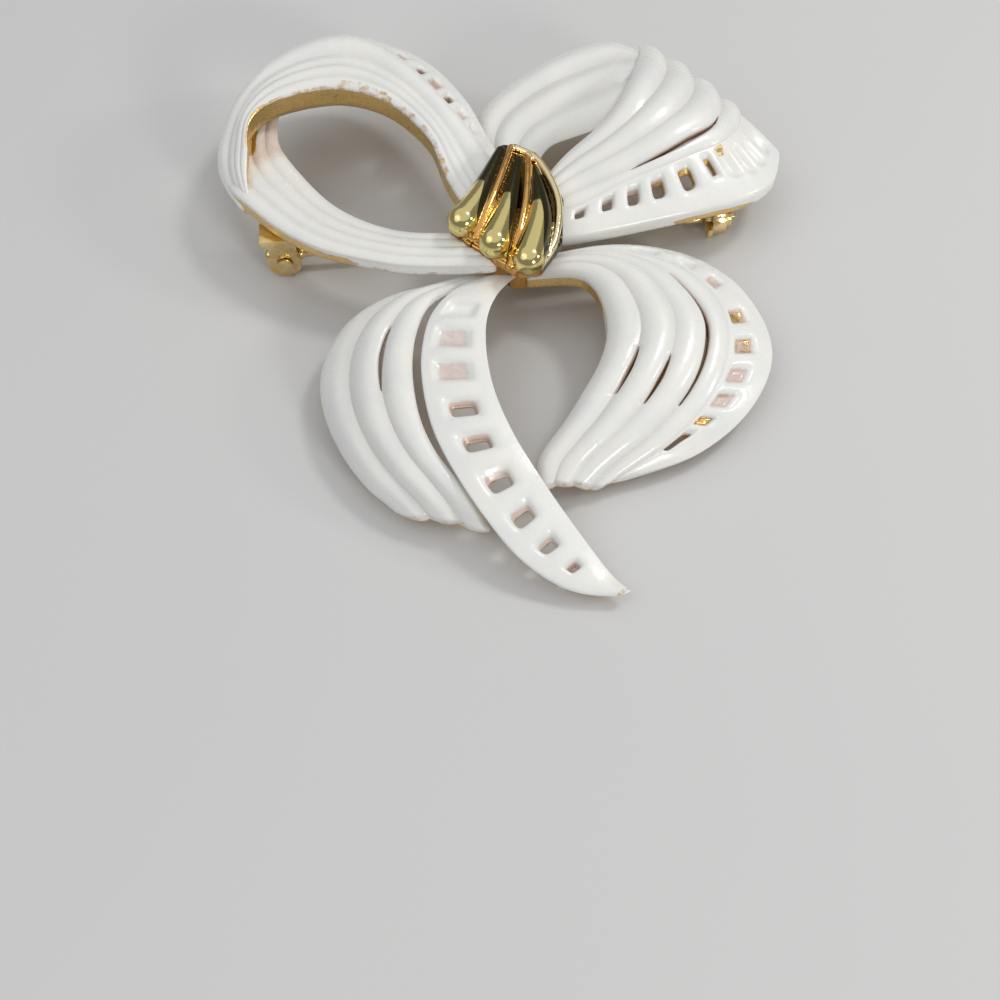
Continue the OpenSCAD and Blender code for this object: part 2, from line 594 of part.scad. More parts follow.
// Seats of the hinge and of the catch on the loops' undersides
hinge_seat = mix(along(left_under_pts, 0.45)[0], along(left_under_pts, 0.45)[1], 0.2);
catch_row = along(right_front_pts, 4.72 / (len(right_front_pts) - 1));
catch_seat = mix(catch_row[0], catch_row[1], 0.5);
hinge_top_z = hinge_seat[2] - rim_drop - wall / 3 - 2 * seat_gap;
catch_top_z = mix(catch_row[0], catch_row[1], 0.3)[2] - wall - 2 * seat_gap;
pin_run = [catch_seat[0] - hinge_seat[0], catch_seat[1] - hinge_seat[1]];
pin_turn = atan2(pin_run[1], pin_run[0]);
pin_span = norm(pin_run);

// Frame of the pin: its axis lies along X, with the rivet at the origin
module pin_place(reach = 0) {
    translate([hinge_seat[0], hinge_seat[1], pin_z])
        rotate([0, 0, pin_turn])
            translate([reach, 0, 0])
                children();
}

module across(length, radius) {
    rotate([90, 0, 0])
        cylinder(r = radius, h = length, center = true, $fn = round_fn);
}

module lengthwise(length, radius) {
    rotate([0, 90, 0])
        cylinder(r = radius, h = length, center = true, $fn = round_fn);
}

ear_gap = eye_w + 2 * side_play;
bracket_w = ear_gap + 2 * ear_t;
bracket_t = 0.8;

module pin_hinge() {
    top = hinge_top_z - pin_z;
    color("goldenrod")
        pin_place()
            difference() {
                union() {
                    translate([-bracket_l / 2, -bracket_w / 2, top - bracket_t])
                        cube([bracket_l, bracket_w, bracket_t]);
                    for (side = [-1, 1])
                        translate([0, side * (ear_gap + ear_t) / 2, 0]) {
                            across(ear_t, ear_r);
                            translate([-ear_r * 0.8, -ear_t / 2, 0])
                                cube([ear_r * 1.6, ear_t, top - bracket_t / 2]);
                        }
                }
                across(bracket_w + 1, rivet_r + running_fit / 2);
            }
}

module hinge_rivet() {
    head_y = bracket_w / 2 + side_play / 2 + rivet_head_t / 2;
    color("gold")
        pin_place() {
            across(2 * head_y, rivet_r);
            for (side = [-1, 1])
                translate([0, side * head_y, 0])
                    across(rivet_head_t, rivet_head_r);
        }
}

module pin_stem() {
    shaft_l = pin_span + stem_past_catch - point_l;
    color("gold")
        pin_place()
            difference() {
                union() {
                    across(eye_w, eye_r);
                    rotate([0, 90, 0])
                        rotate_extrude($fn = round_fn)
                            polygon([[0, 0], [stem_r, 0], [stem_r, shaft_l], [point_r, shaft_l + point_l],
                                     [0, shaft_l + point_l]]);
                    for (bead_x = [-eye_r - bead_r * 0.5, eye_r + bead_r * 0.6])
                        translate([bead_x, 0, 0])
                            rotate([0, 90, 0])
                                sphere(r = bead_r, $fn = bead_fn);
                }
                across(eye_w + 1, rivet_r + running_fit);
            }
}

// Radii of the catch from the stem outwards
roller_in_r = stem_r + stem_play;
housing_in_r = pin_z - housing_t;
roller_out_r = housing_in_r - running_fit;
mouth_w = 2 * roller_in_r;
catch_plate_t = 0.7;

module catch_body() {
    top = catch_top_z - pin_z;
    color("goldenrod")
        pin_place(pin_span)
            difference() {
                union() {
                    lengthwise(housing_l, pin_z);
                    translate([-housing_l / 2, -0.6 * pin_z, 0])
                        cube([housing_l, 1.2 * pin_z, top - catch_plate_t / 2]);
                    translate([-catch_plate_l / 2, -0.8 * pin_z, top - catch_plate_t])
                        cube([catch_plate_l, 1.6 * pin_z, catch_plate_t]);
                }
                lengthwise(housing_l + 1, housing_in_r);
                translate([-housing_l, -mouth_w / 2, -2 * pin_z])
                    cube([2 * housing_l, mouth_w, 2 * pin_z]);
            }
}

module catch_roller() {
    roller_l = housing_l + 2 * (side_play + lever_t);
    lever_x = housing_l / 2 + side_play + lever_t / 2;
    color("gold")
        pin_place(pin_span)
            difference() {
                union() {
                    lengthwise(roller_l, roller_out_r);
                    translate([-lever_x - lever_t / 2, -lever_reach, -roller_out_r / 2])
                        cube([lever_t, lever_reach, roller_out_r]);
                }
                lengthwise(roller_l + 1, roller_in_r);
                translate([-roller_l, -mouth_w / 2, -2 * pin_z])
                    cube([2 * roller_l, mouth_w, 2 * pin_z]);
            }
}

loop_upper_left();
loop_upper_right();
ribbon_lower_left();
ribbon_lower_right();
knot();
pin_hinge();
hinge_rivet();
pin_stem();
catch_body();
catch_roller();
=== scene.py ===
import math

import bmesh
import bpy
import numpy as np
from mathutils import Matrix, Vector


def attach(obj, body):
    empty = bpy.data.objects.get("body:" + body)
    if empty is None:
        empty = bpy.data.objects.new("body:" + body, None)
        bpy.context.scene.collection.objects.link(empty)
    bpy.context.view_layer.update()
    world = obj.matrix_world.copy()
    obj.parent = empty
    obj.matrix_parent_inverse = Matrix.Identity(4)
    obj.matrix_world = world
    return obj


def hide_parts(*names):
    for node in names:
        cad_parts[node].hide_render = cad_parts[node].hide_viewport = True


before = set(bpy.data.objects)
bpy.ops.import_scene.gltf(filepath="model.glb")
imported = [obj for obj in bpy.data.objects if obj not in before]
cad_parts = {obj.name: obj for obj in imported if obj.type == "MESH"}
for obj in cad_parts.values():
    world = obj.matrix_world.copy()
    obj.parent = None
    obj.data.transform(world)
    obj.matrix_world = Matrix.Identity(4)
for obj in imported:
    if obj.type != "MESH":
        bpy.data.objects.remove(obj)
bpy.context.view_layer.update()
millimetre = 0.001
print("frame loaded")

# The camera stands a hand's breadth in front of the brooch and looks down at it
cameraSettings = {"place": (-0.00026, -0.07787, 0.08659), "downward": 58.0, "angle": 50.0}


def makeCamera(settings):
    data = bpy.data.cameras.new("camera")
    data.sensor_width = 36.0
    data.lens_unit = "FOV"
    data.angle = math.radians(settings["angle"])
    data.clip_start = 0.001
    data.dof.use_dof = False
    camera = bpy.data.objects.new("camera", data)
    camera.location = settings["place"]
    camera.rotation_euler = (math.radians(90.0 - settings["downward"]), 0.0, 0.0)
    bpy.context.scene.collection.objects.link(camera)
    bpy.context.scene.camera = camera


makeCamera(cameraSettings)


# A shader socket that can be added, taken away and multiplied
class Term:
    def __init__(self, graph, socket):
        self.graph = graph
        self.socket = socket

    def combined(self, operation, *others):
        return self.graph.term("ShaderNodeMath", {"operation": operation}, [self, *others])

    def __add__(self, other):
        return self.combined("ADD", other)

    def __radd__(self, other):
        return self.combined("ADD", other)

    def __sub__(self, other):
        return self.combined("SUBTRACT", other)

    def __rsub__(self, other):
        return self.graph.term("ShaderNodeMath", {"operation": "SUBTRACT"}, [other, self])

    def __mul__(self, other):
        return self.combined("MULTIPLY", other)

    def __rmul__(self, other):
        return self.combined("MULTIPLY", other)

    def smooth(self, low, high):
        return self.graph.term("ShaderNodeMapRange", {"interpolation_type": "SMOOTHSTEP"},
                               [self, low, high, 0.0, 1.0])


class Graph:
    def __init__(self, name):
        self.material = bpy.data.materials.new(name)
        self.material.use_nodes = True
        self.tree = self.material.node_tree
        self.tree.nodes.clear()
        output = self.tree.nodes.new("ShaderNodeOutputMaterial")
        self.shader = self.tree.nodes.new("ShaderNodeBsdfPrincipled")
        self.tree.links.new(self.shader.outputs[0], output.inputs["Surface"])

    def feed(self, socket, value):
        if isinstance(value, Term):
            self.tree.links.new(value.socket, socket)
        elif isinstance(value, tuple) and len(value) == 3 and socket.type == "RGBA":
            socket.default_value = (*value, 1.0)
        else:
            socket.default_value = value

    def node(self, kind, settings, values):
        made = self.tree.nodes.new(kind)
        for name, value in settings.items():
            setattr(made, name, value)
        pairs = values.items() if isinstance(values, dict) else enumerate(values)
        for key, value in pairs:
            self.feed(made.inputs[key], value)
        return made

    def term(self, kind, settings, values, output=0):
        return Term(self, self.node(kind, settings, values).outputs[output])

    def attribute(self, name):
        return self.term("ShaderNodeAttribute", {"attribute_name": name}, {}, "Fac")

    def objectPoint(self, scale=(1000.0, 1000.0, 1000.0)):
        place = self.term("ShaderNodeTexCoord", {}, {}, "Object")
        return self.term("ShaderNodeVectorMath", {"operation": "MULTIPLY"}, [place, scale])

    def noise(self, point, scale, detail=3.0, roughness=0.5):
        return self.term("ShaderNodeTexNoise", {}, {"Vector": point, "Scale": scale, "Detail": detail,
                                                    "Roughness": roughness})

    def blend(self, share, first, second):
        made = self.node("ShaderNodeMix", {"data_type": "RGBA"}, {})
        self.feed(made.inputs[0], share)
        self.feed(made.inputs[6], first)
        self.feed(made.inputs[7], second)
        return Term(self, made.outputs[2])

    def bump(self, height, distance, strength=1.0):
        values = {"Height": height, "Distance": distance, "Strength": strength}
        return self.term("ShaderNodeBump", {}, values)

    def surface(self, **values):
        for name, value in values.items():
            self.feed(self.shader.inputs[name.replace("_", " ")], value)
        return self.material


# Enamel over gold-coloured metal. A point's bare share says how much metal shows there, its well
# share how far a recess or a cut wall has gone bronze, its highest values painting shade dark into slits and
# deep walls, and its groove share how deep it lies, which paints shade into the grooves
enamelLook = {
    "white": (0.85, 0.845, 0.805), "cool": (0.81, 0.815, 0.80), "grooveShade": (0.56, 0.52, 0.47),
    "gold": (0.80, 0.53, 0.18), "paleGold": (0.90, 0.71, 0.36), "brown": (0.26, 0.13, 0.045),
    "pink": (0.64, 0.52, 0.47), "bronze": (0.44, 0.21, 0.09), "dark": (0.06, 0.04, 0.03),
    "stain": (0.52, 0.33, 0.16)}


def makeEnamel(name, look):
    g = Graph(name)
    point = g.objectPoint()
    bare = g.attribute("bare")
    well = g.attribute("well")
    groove = g.attribute("groove")
    flakes = g.noise(point, 1.3, 7.0, 0.68)
    specks = g.noise(point, 7.0, 3.0, 0.6)
    broad = g.noise(point, 0.22, 2.0, 0.5)
    patches = g.noise(point, 0.6, 2.0, 0.5)
    ragged = bare * 1.2 - 0.1 + (flakes - 0.5) * 0.7 + (patches - 0.5) * 0.45 + (specks - 0.5) * 0.2
    metal = ragged.smooth(0.50, 0.535)
    border = ragged.smooth(0.36, 0.50) * (1.0 - metal)
    white = g.blend(broad.smooth(0.35, 0.65), look["white"], look["cool"])
    # Painted shade: the enamel goes greyer deep in the grooves
    grooveShaded = g.blend(groove * (0.10 + flakes * 0.35), white, look["grooveShade"])
    tone = well + (flakes - 0.5) * 0.35
    pinkish = g.blend(tone.smooth(0.15, 0.45), grooveShaded, look["pink"])
    bronzed = g.blend(tone.smooth(0.45, 0.80), pinkish, look["bronze"])
    # Painted shade: the highest well tones, on slit walls and deep window walls, turn dark
    sunken = g.blend(tone.smooth(0.88, 1.0), bronzed, look["dark"])
    stained = g.blend(border * 0.65, sunken, look["stain"])
    gold = g.blend(specks.smooth(0.35, 0.7), look["gold"], look["paleGold"])
    tarnished = g.blend(flakes.smooth(0.56, 0.78) * 0.6, gold, look["brown"])
    colour = g.blend(metal, stained, tarnished)
    polish = 0.24 + flakes * 0.08
    worn = 0.20 + specks * 0.2
    waves = g.noise(point, 0.9, 2.0, 0.5)
    step = (1.0 - metal) * 0.06
    height = waves * 0.05 + step + specks * metal * 0.03
    return g.surface(Base_Color=colour, Metallic=metal, Roughness=polish + (worn - polish) * metal,
                     Coat_Weight=(1.0 - metal) * 0.22, Coat_Roughness=0.07, IOR=1.45,
                     Normal=g.bump(height, 0.001, 0.8))


# Polished gold-coloured metal, with painted shade in its creases, a painted highlight in cream along its
# right edge and painted dark reflections on the points and right flanks of its lobes
knotLook = {"gold": (0.78, 0.66, 0.28), "orange": (0.80, 0.44, 0.13), "cream": (0.92, 0.76, 0.44),
            "dark": (0.05, 0.035, 0.015), "shade": (0.035, 0.028, 0.012)}


def makeKnotGold(name, look):
    g = Graph(name)
    point = g.objectPoint()
    crease = g.attribute("crease")
    shade = g.attribute("shade")
    haze = g.noise(point, 0.8, 4.0, 0.55)
    scratches = g.noise(g.objectPoint((9000.0, 900.0, 2500.0)), 1.0, 3.0, 0.6)
    base = g.blend(g.attribute("warm").smooth(0.2, 0.8), look["gold"], look["orange"])
    # Painted highlight: cream along the right edge
    edged = g.blend(g.attribute("pale").smooth(0.2, 0.8), base, look["cream"])
    # Painted dark reflections on the lobes' points and right flanks
    shaded = g.blend((shade + (haze - 0.5) * 0.15).smooth(0.35, 0.65) * 0.93, edged, look["shade"])
    # Painted shade in the creases beside the strips
    deep = g.blend((crease + (haze - 0.5) * 0.3).smooth(0.25, 0.95) * 0.85, shaded, look["dark"])
    roughness = 0.08 + haze * 0.06 + scratches * 0.04 + crease * 0.1
    height = haze * 0.010 + scratches * 0.003
    return g.surface(Base_Color=deep, Metallic=1.0, Roughness=roughness, Normal=g.bump(height, 0.001, 0.5))


fittingLook = {"gold": (0.78, 0.55, 0.22), "pale": (0.88, 0.72, 0.42), "brown": (0.20, 0.12, 0.05)}


def makeFittingGold(name, look, wear):
    g = Graph(name)
    point = g.objectPoint()
    haze = g.noise(point, 1.1, 4.0, 0.6)
    grain = g.noise(point, 9.0, 3.0, 0.6)
    base = g.blend(haze.smooth(0.35, 0.65), look["gold"], look["pale"])
    spotted = g.blend(grain.smooth(0.62, 0.80) * wear, base, look["brown"])
    return g.surface(Base_Color=spotted, Metallic=1.0, Roughness=0.12 + haze * 0.10 + grain * 0.06,
                     Normal=g.bump(grain * 0.02 + haze * 0.02, 0.001, 0.7))


enamel = makeEnamel("enamelOverGold", enamelLook)
knotGold = makeKnotGold("knotGold", knotLook)
plateGold = makeFittingGold("plateGold", fittingLook, 0.8)
wireGold = makeFittingGold("wireGold", fittingLook, 0.35)
print("materials made")

# Sizes of the casting in millimetres, steps and fades in rows, and places in shares of a panel, rib or window
casting = {
    "wall": 1.2, "ribShare": 0.14, "ribFullness": 0.65, "coreShare": 0.45, "backShare": 0.5,
    "blindDepth": 0.6, "throughDepth": 0.26, "throughTint": 0.12, "middleLayer": 0.62, "innerShare": 0.72,
    "insetShare": 0.14, "grooveHalf": 0.11, "grooveMost": 0.2, "slitTaper": 0.8, "slitLeast": 0.04,
    "slitTone": 1.15, "edgeLines": (0.0, 0.32, 0.64), "ribLines": (0.30, 0.5, 0.70), "rimLine": 0.4,
    "longStep": 0.26, "leastStep": 0.022, "barNear": 0.12, "fadeAlong": 0.5, "fadeAcross": 0.14}
knotPlace = {"x": 0.25, "y": 5.0, "z": 8.0, "lean": 6.0}

# The tables of the seven strands, by column:
# rows: points across a section, each a share of the two reaches and a level, 0 on the table, 1 at the root
#   and 2 at the crest
# panels, between neighbouring points: kind, number of ribs, crown
# drops: how far the first and the last edge turn down, as one size, or a size and then steps of new size,
#   first share, last share
# windows: row, place across, width, height, 1 if cut through, tone of the walls (bronze and, at the highest,
#   painted shade), share of bare metal
# slits: first row, last row, place across, width
# bare and tints: first row, last row, first place across, last place across, share of metal or of pink
# skew: row, how far a bar runs back over the width of its band
# draft: how far a hole's far walls close in, along and across
leftOver = {
    "reach": (-31.5, 30.0), "root": 8.0, "rise": 4.0, "splitRail": (1, 0.4),
    "rows": [
        [[-0.006, 0.333, 0.85], [0.016, 0.217, 1.05], [0.137, 0.083, 1.00]],
        [[0.057, 0.473, 0.90], [0.076, 0.347, 1.25], [0.203, 0.200, 1.25]],
        [[0.140, 0.667, 0.98], [0.190, 0.493, 1.68], [0.260, 0.350, 1.53]],
        [[0.279, 0.873, 1.00], [0.324, 0.667, 1.93], [0.390, 0.493, 1.75]],
        [[0.460, 0.990, 1.00], [0.492, 0.827, 2.00], [0.533, 0.557, 1.85]],
        [[0.660, 0.985, 1.00], [0.651, 0.840, 2.00], [0.667, 0.553, 1.85]],
        [[0.873, 0.860, 0.95], [0.832, 0.733, 1.80], [0.800, 0.500, 1.78]],
        [[0.980, 0.650, 0.85], [0.940, 0.573, 1.45], [0.868, 0.410, 1.65]],
        [[0.992, 0.427, 0.75], [0.990, 0.400, 1.00], [0.868, 0.308, 1.45]],
        [[0.965, 0.253, 0.70], [0.971, 0.247, 0.88], [0.866, 0.212, 1.22]],
        [[0.876, 0.127, 0.70], [0.889, 0.113, 0.83], [0.852, 0.122, 1.00]]],
    "panels": [("ladder", 0, 0.0), ("ribs", 1, 0.0), ("ribs", 3, 0.3), ("edge", 0, 0.0)],
    "drops": (0.0, (2.1, 1.2, 0.55, 0.8)), "scallop": 0.0,
    "windows": [
        (1.40, 0.72, 0.24, 0.48, 0, 0.30, 0), (1.76, 0.70, 0.26, 0.48, 0, 0.35, 0),
        (2.16, 0.70, 0.26, 0.50, 1, 0.7, 0), (2.54, 0.70, 0.26, 0.50, 0, 0.60, 0),
        (2.92, 0.70, 0.26, 0.50, 1, 0.70, 0), (3.34, 0.68, 0.28, 0.46, 0, 0.5, 0),
        (3.82, 0.66, 0.28, 0.44, 0, 0.60, 0), (4.32, 0.66, 0.28, 0.44, 0, 0.25, 0)],
    "barRise": 0.28, "slits": [], "step": 0.36,
    "bare": [(0.0, 10.0, 3.12, 4.0, 1.0), (0.5, 4.2, 2.80, 3.1, 0.44), (4.2, 6.5, 2.97, 3.1, 0.46),
             (6.4, 7.9, 2.93, 3.1, 0.60), (7.0, 10.0, 0.0, 0.3, 0.34)]}
leftUnder = {
    "reach": (-31.5, 30.0), "root": 8.0, "rise": 4.0,
    "rows": [
        [[0.965, 0.400, 0.90], [0.800, 0.640, 0.95]], [[0.955, 0.270, 0.90], [0.800, 0.467, 0.88]],
        [[0.925, 0.173, 0.95], [0.749, 0.360, 0.86]], [[0.854, 0.087, 1.00], [0.679, 0.253, 0.86]],
        [[0.743, -0.020, 0.96], [0.590, 0.133, 0.88]], [[0.597, -0.117, 0.96], [0.483, 0.043, 0.90]],
        [[0.438, -0.173, 0.98], [0.356, -0.020, 0.93]], [[0.286, -0.207, 0.99], [0.235, -0.047, 0.98]],
        [[0.030, -0.195, 0.97], [0.010, -0.045, 1.00]]],
    "panels": [("edge", 0, 0.0), ("ribs", 4, 0.4)],
    "drops": ((1.2, 1.5, 0.1, 0.4, 1.2, 0.55, 0.75), 0.0), "scallop": 0.0, "windows": [], "slits": [],
    "step": 0.5,
    "bare": [(1.0, 4.6, 0.0, 0.72, 1.0), (4.4, 5.6, 0.0, 0.85, 0.52), (5.2, 8.0, 0.0, 0.4, 0.40),
             (0.0, 0.9, 1.0, 1.55, 0.85)], "tints": [(0.0, 1.7, 1.5, 2.0, 0.34)]}
rightFront = {
    "reach": (31.0, 30.0), "root": 8.0, "rise": 3.4,
    "rows": [
        [[0.110, -0.047, 0.86], [0.123, 0.040, 0.98], [0.123, 0.073, 1.00], [0.110, 0.173, 1.00]],
        [[0.232, -0.027, 0.88], [0.258, 0.087, 1.03], [0.258, 0.143, 1.18], [0.206, 0.300, 1.29]],
        [[0.371, 0.007, 0.88], [0.394, 0.160, 1.29], [0.387, 0.193, 1.38], [0.310, 0.393, 1.62]],
        [[0.516, 0.050, 0.88], [0.523, 0.217, 1.44], [0.523, 0.260, 1.59], [0.387, 0.487, 1.88]],
        [[0.677, 0.100, 0.88], [0.652, 0.290, 1.47], [0.639, 0.337, 1.68], [0.432, 0.587, 2.00]],
        [[0.826, 0.163, 0.85], [0.761, 0.367, 1.38], [0.729, 0.427, 1.59], [0.465, 0.697, 1.88]],
        [[0.942, 0.273, 0.80], [0.829, 0.480, 1.15], [0.771, 0.547, 1.35], [0.497, 0.833, 1.53]],
        [[0.990, 0.440, 0.75], [0.860, 0.605, 0.90], [0.790, 0.680, 0.94], [0.510, 0.985, 0.98]]],
    "panels": [("edge", 0, 0.0), ("ladder", 0, 0.2), ("ribs", 1, 0.0), ("ribs", 3, 0.5), ("edge", 0, 0.0)],
    "drops": (1.5, 1.5), "scallop": 0.2,
    "windows": [
        (1.04, 0.68, 0.34, 0.44, 1, 0.45, 0), (1.74, 0.64, 0.38, 0.50, 1, 0.45, 0),
        (2.40, 0.60, 0.42, 0.58, 1, 0.6, 0), (3.04, 0.61, 0.44, 0.62, 1, 0.80, 0.52),
        (3.76, 0.62, 0.46, 0.68, 1, 0.80, 1), (4.44, 0.70, 0.27, 0.52, 1, 0.80, 1),
        (4.95, 0.64, 0.12, 0.58, 0, 0.12, 0), (5.45, 0.58, 0.12, 0.62, 0, 0.2, 0),
        (5.95, 0.54, 0.12, 0.58, 0, 0.1, 0), (6.45, 0.50, 0.12, 0.50, 0, 0.05, 0)],
    "barRise": 0.05, "slits": [(2.35, 5.25, 3.0, 0.72)], "draft": (0.0, 0.42),
    "skew": [(0, 0.0), (1.5, 0.1), (3, 0.28), (4.4, 0.45), (5.5, 0.45), (6.5, 0.3), (7, 0.0)],
    "bare": [(3.6, 4.8, 0.0, 0.42, 1.0), (4.8, 7.0, 0.0, 0.3, 0.40), (0.0, 3.6, 0.0, 0.3, 0.36),
             (4.92, 4.98, 1.87, 1.93, 0.58)]}
rightBack = {
    "reach": (31.0, 30.0), "root": 8.0, "rise": 3.4,
    "rows": [
        [[0.097, 0.233, 0.63], [0.029, 0.317, 0.61]], [[0.116, 0.367, 0.70], [-0.110, 0.500, 0.60]],
        [[0.161, 0.433, 0.83], [-0.080, 0.690, 0.72]], [[0.239, 0.460, 0.90], [0.106, 0.853, 0.95]],
        [[0.329, 0.493, 0.95], [0.258, 0.940, 1.06]], [[0.406, 0.553, 1.05], [0.394, 0.990, 1.06]],
        [[0.490, 0.640, 1.15], [0.490, 0.950, 1.00]], [[0.590, 0.680, 1.40], [0.555, 0.880, 1.02]]],
    "panels": [("ribs", 3, 0.6)],
    "drops": (0.0, 0.0), "scallop": 0.0, "windows": [], "slits": [], "bare": []}
leftRibs = {
    "reach": (-18.5, -40.0), "root": 5.0, "rise": 2.0,
    "rows": [
        [[0.141, 0.103, 0.86], [0.032, 0.122, 0.98]], [[0.400, 0.142, 0.86], [0.254, 0.180, 1.30]],
        [[0.659, 0.183, 0.86], [0.400, 0.257, 1.80]], [[0.854, 0.245, 0.78], [0.459, 0.340, 1.90]],
        [[0.962, 0.335, 0.66], [0.476, 0.430, 1.90]], [[0.989, 0.430, 0.58], [0.459, 0.520, 1.80]],
        [[0.941, 0.535, 0.54], [0.416, 0.605, 1.60]], [[0.832, 0.640, 0.48], [0.334, 0.682, 1.30]],
        [[0.703, 0.720, 0.42], [0.212, 0.750, 0.94]], [[0.616, 0.755, 0.38], [0.122, 0.797, 0.68]],
        [[0.551, 0.780, 0.34], [0.068, 0.832, 0.36]]],
    "panels": [("ribs", 3, 1.0)],
    "drops": (0.0, 0.0), "scallop": 0.6, "windows": [], "slits": [(3.2, 5.2, 0.667, 0.4)],
    "bare": [(9.85, 10.0, 0.0, 1.0, 0.41)]}
tailBand = {
    "reach": (-18.5, -40.0), "root": 5.0, "rise": 2.0,
    "rows": [
        [[0.141, 0.135, 1.30], [-0.076, 0.125, 1.30]], [[0.292, 0.210, 1.95], [0.032, 0.215, 1.90]],
        [[0.405, 0.300, 2.10], [0.092, 0.305, 2.00]], [[0.443, 0.415, 2.10], [0.092, 0.415, 2.00]],
        [[0.427, 0.523, 2.05], [0.049, 0.525, 1.90]], [[0.373, 0.630, 1.85], [-0.038, 0.630, 1.65]],
        [[0.270, 0.730, 1.50], [-0.146, 0.718, 1.25]], [[0.119, 0.833, 0.94], [-0.270, 0.798, 0.82]],
        [[-0.065, 0.925, 0.60], [-0.416, 0.883, 0.50]], [[-0.303, 0.985, 0.34], [-0.524, 0.945, 0.32]],
        [[-0.562, 0.995, 0.29], [-0.605, 0.980, 0.29]]],
    "panels": [("ladder", 0, 0.4)],
    "drops": (0.0, 0.0), "scallop": 0.0,
    "windows": [
        (1.75, 0.50, 0.56, 0.58, 0, 0.12, 0), (2.60, 0.48, 0.60, 0.60, 0, 0.34, 0),
        (3.50, 0.48, 0.60, 0.58, 0, 0.36, 0), (4.44, 0.50, 0.62, 0.56, 1, 0.60, 0),
        (5.32, 0.49, 0.62, 0.54, 1, 0.68, 0), (6.27, 0.48, 0.64, 0.52, 1, 0.55, 0),
        (7.08, 0.47, 0.54, 0.50, 1, 0.50, 0), (7.78, 0.50, 0.42, 0.44, 1, 0.50, 0),
        (8.44, 0.56, 0.32, 0.36, 1, 0.6, 0)],
    "barRise": 0.04, "slits": [], "draft": (0.42, 0.0),
    "skew": [(0, 0.0), (3, 0.0), (5, 0.35), (7, 0.75), (9, 0.5), (10, 0.0)],
    "bare": [(9.7, 10.0, 0.0, 1.0, 0.44), (6.0, 9.5, 0.0, 0.03, 0.30)]}
rightRibs = {
    "reach": (27.0, -29.5), "root": 5.0, "rise": 2.0,
    "rows": [
        [[0.080, 0.180, 1.15], [0.095, 0.115, 1.35], [0.102, 0.100, 1.30], [0.108, 0.085, 1.15]],
        [[0.252, 0.203, 1.70], [0.356, 0.108, 1.95], [0.385, 0.085, 1.80], [0.400, 0.034, 1.45]],
        [[0.326, 0.258, 1.80], [0.559, 0.166, 2.00], [0.630, 0.142, 1.75], [0.674, 0.044, 1.05]],
        [[0.363, 0.359, 1.75], [0.674, 0.278, 1.90], [0.763, 0.251, 1.60], [0.867, 0.142, 0.86]],
        [[0.367, 0.468, 1.65], [0.733, 0.400, 1.75], [0.815, 0.373, 1.45], [0.970, 0.292, 0.72]],
        [[0.333, 0.576, 1.50], [0.722, 0.522, 1.60], [0.811, 0.508, 1.25], [0.996, 0.447, 0.64]],
        [[0.274, 0.678, 1.25], [0.674, 0.637, 1.35], [0.759, 0.637, 1.05], [0.948, 0.590, 0.56]],
        [[0.204, 0.783, 0.96], [0.593, 0.742, 1.00], [0.674, 0.753, 0.88], [0.837, 0.732, 0.48]],
        [[0.144, 0.854, 0.82], [0.489, 0.837, 0.82], [0.563, 0.844, 0.70], [0.681, 0.844, 0.40]],
        [[0.104, 0.915, 0.66], [0.370, 0.915, 0.58], [0.444, 0.908, 0.50], [0.526, 0.902, 0.38]],
        [[0.096, 0.983, 0.47], [0.304, 0.963, 0.40], [0.363, 0.946, 0.36], [0.407, 0.932, 0.36]]],
    "panels": [("edge", 0, 0.0), ("ribs", 3, 1.0), ("ribs", 1, 0.0), ("ladder", 0, 0.2)],
    "drops": (1.5, 0.0), "scallop": 0.2,
    "windows": [
        (1.55, 0.36, 0.36, 0.46, 0, 0.10, 0), (2.22, 0.34, 0.36, 0.46, 0, 0.15, 0),
        (2.90, 0.38, 0.38, 0.48, 0, 0.45, 0), (3.98, 0.34, 0.50, 0.48, 0, 0.50, 0.52),
        (4.85, 0.36, 0.52, 0.50, 0, 0.45, 0.48), (5.72, 0.34, 0.52, 0.48, 0, 0.42, 0.36),
        (6.46, 0.32, 0.46, 0.46, 0, 0.42, 0.40), (7.10, 0.26, 0.30, 0.40, 0, 0.55, 0.62),
        (7.80, 0.16, 0.90, 0.24, 1, 0.80, 0.3)],
    "barRise": 0.05, "slits": [(2.4, 6.8, 2.0, 0.4), (4.8, 6.4, 1.333, 0.4), (5.2, 6.8, 1.667, 0.4)],
    "bare": [(0.0, 2.7, 0.0, 0.80, 1.0), (2.7, 3.3, 0.0, 0.5, 0.5), (9.85, 10.0, 0.9, 4.0, 0.40)]}


def pointsOf(strand):
    rows = np.array(strand["rows"], float)
    if "splitRail" in strand:
        rail, share = strand["splitRail"]
        extra = rows[:, rail] * (1 - share) + rows[:, rail + 1] * share
        rows = np.insert(rows, rail + 1, extra, axis=1)
    points = np.empty_like(rows)
    points[..., 0] = knotPlace["x"] + rows[..., 0] * strand["reach"][0]
    points[..., 1] = knotPlace["y"] + rows[..., 1] * strand["reach"][1]
    level, root, rise = rows[..., 2], strand["root"], strand["rise"]
    points[..., 2] = np.where(level < 1, level * root, root + (level - 1) * rise)
    return points


def curveAt(rows, place):
    last = len(rows) - 1
    step = min(int(place), last - 1)
    t = place - step
    before, start = rows[max(step - 1, 0)], rows[step]
    end, after = rows[step + 1], rows[min(step + 2, last)]
    return 0.5 * (2 * start + (end - before) * t + (2 * before - 5 * start + 4 * end - after) * t * t
                  + (3 * start - before - 3 * end + after) * t ** 3)


def dropAt(drop, share):
    if not isinstance(drop, tuple):
        return drop
    size = drop[0]
    for after, start, end in zip(drop[1::3], drop[2::3], drop[3::3]):
        size += (after - size) * min(max((share - start) / (end - start), 0.0), 1.0)
    return size


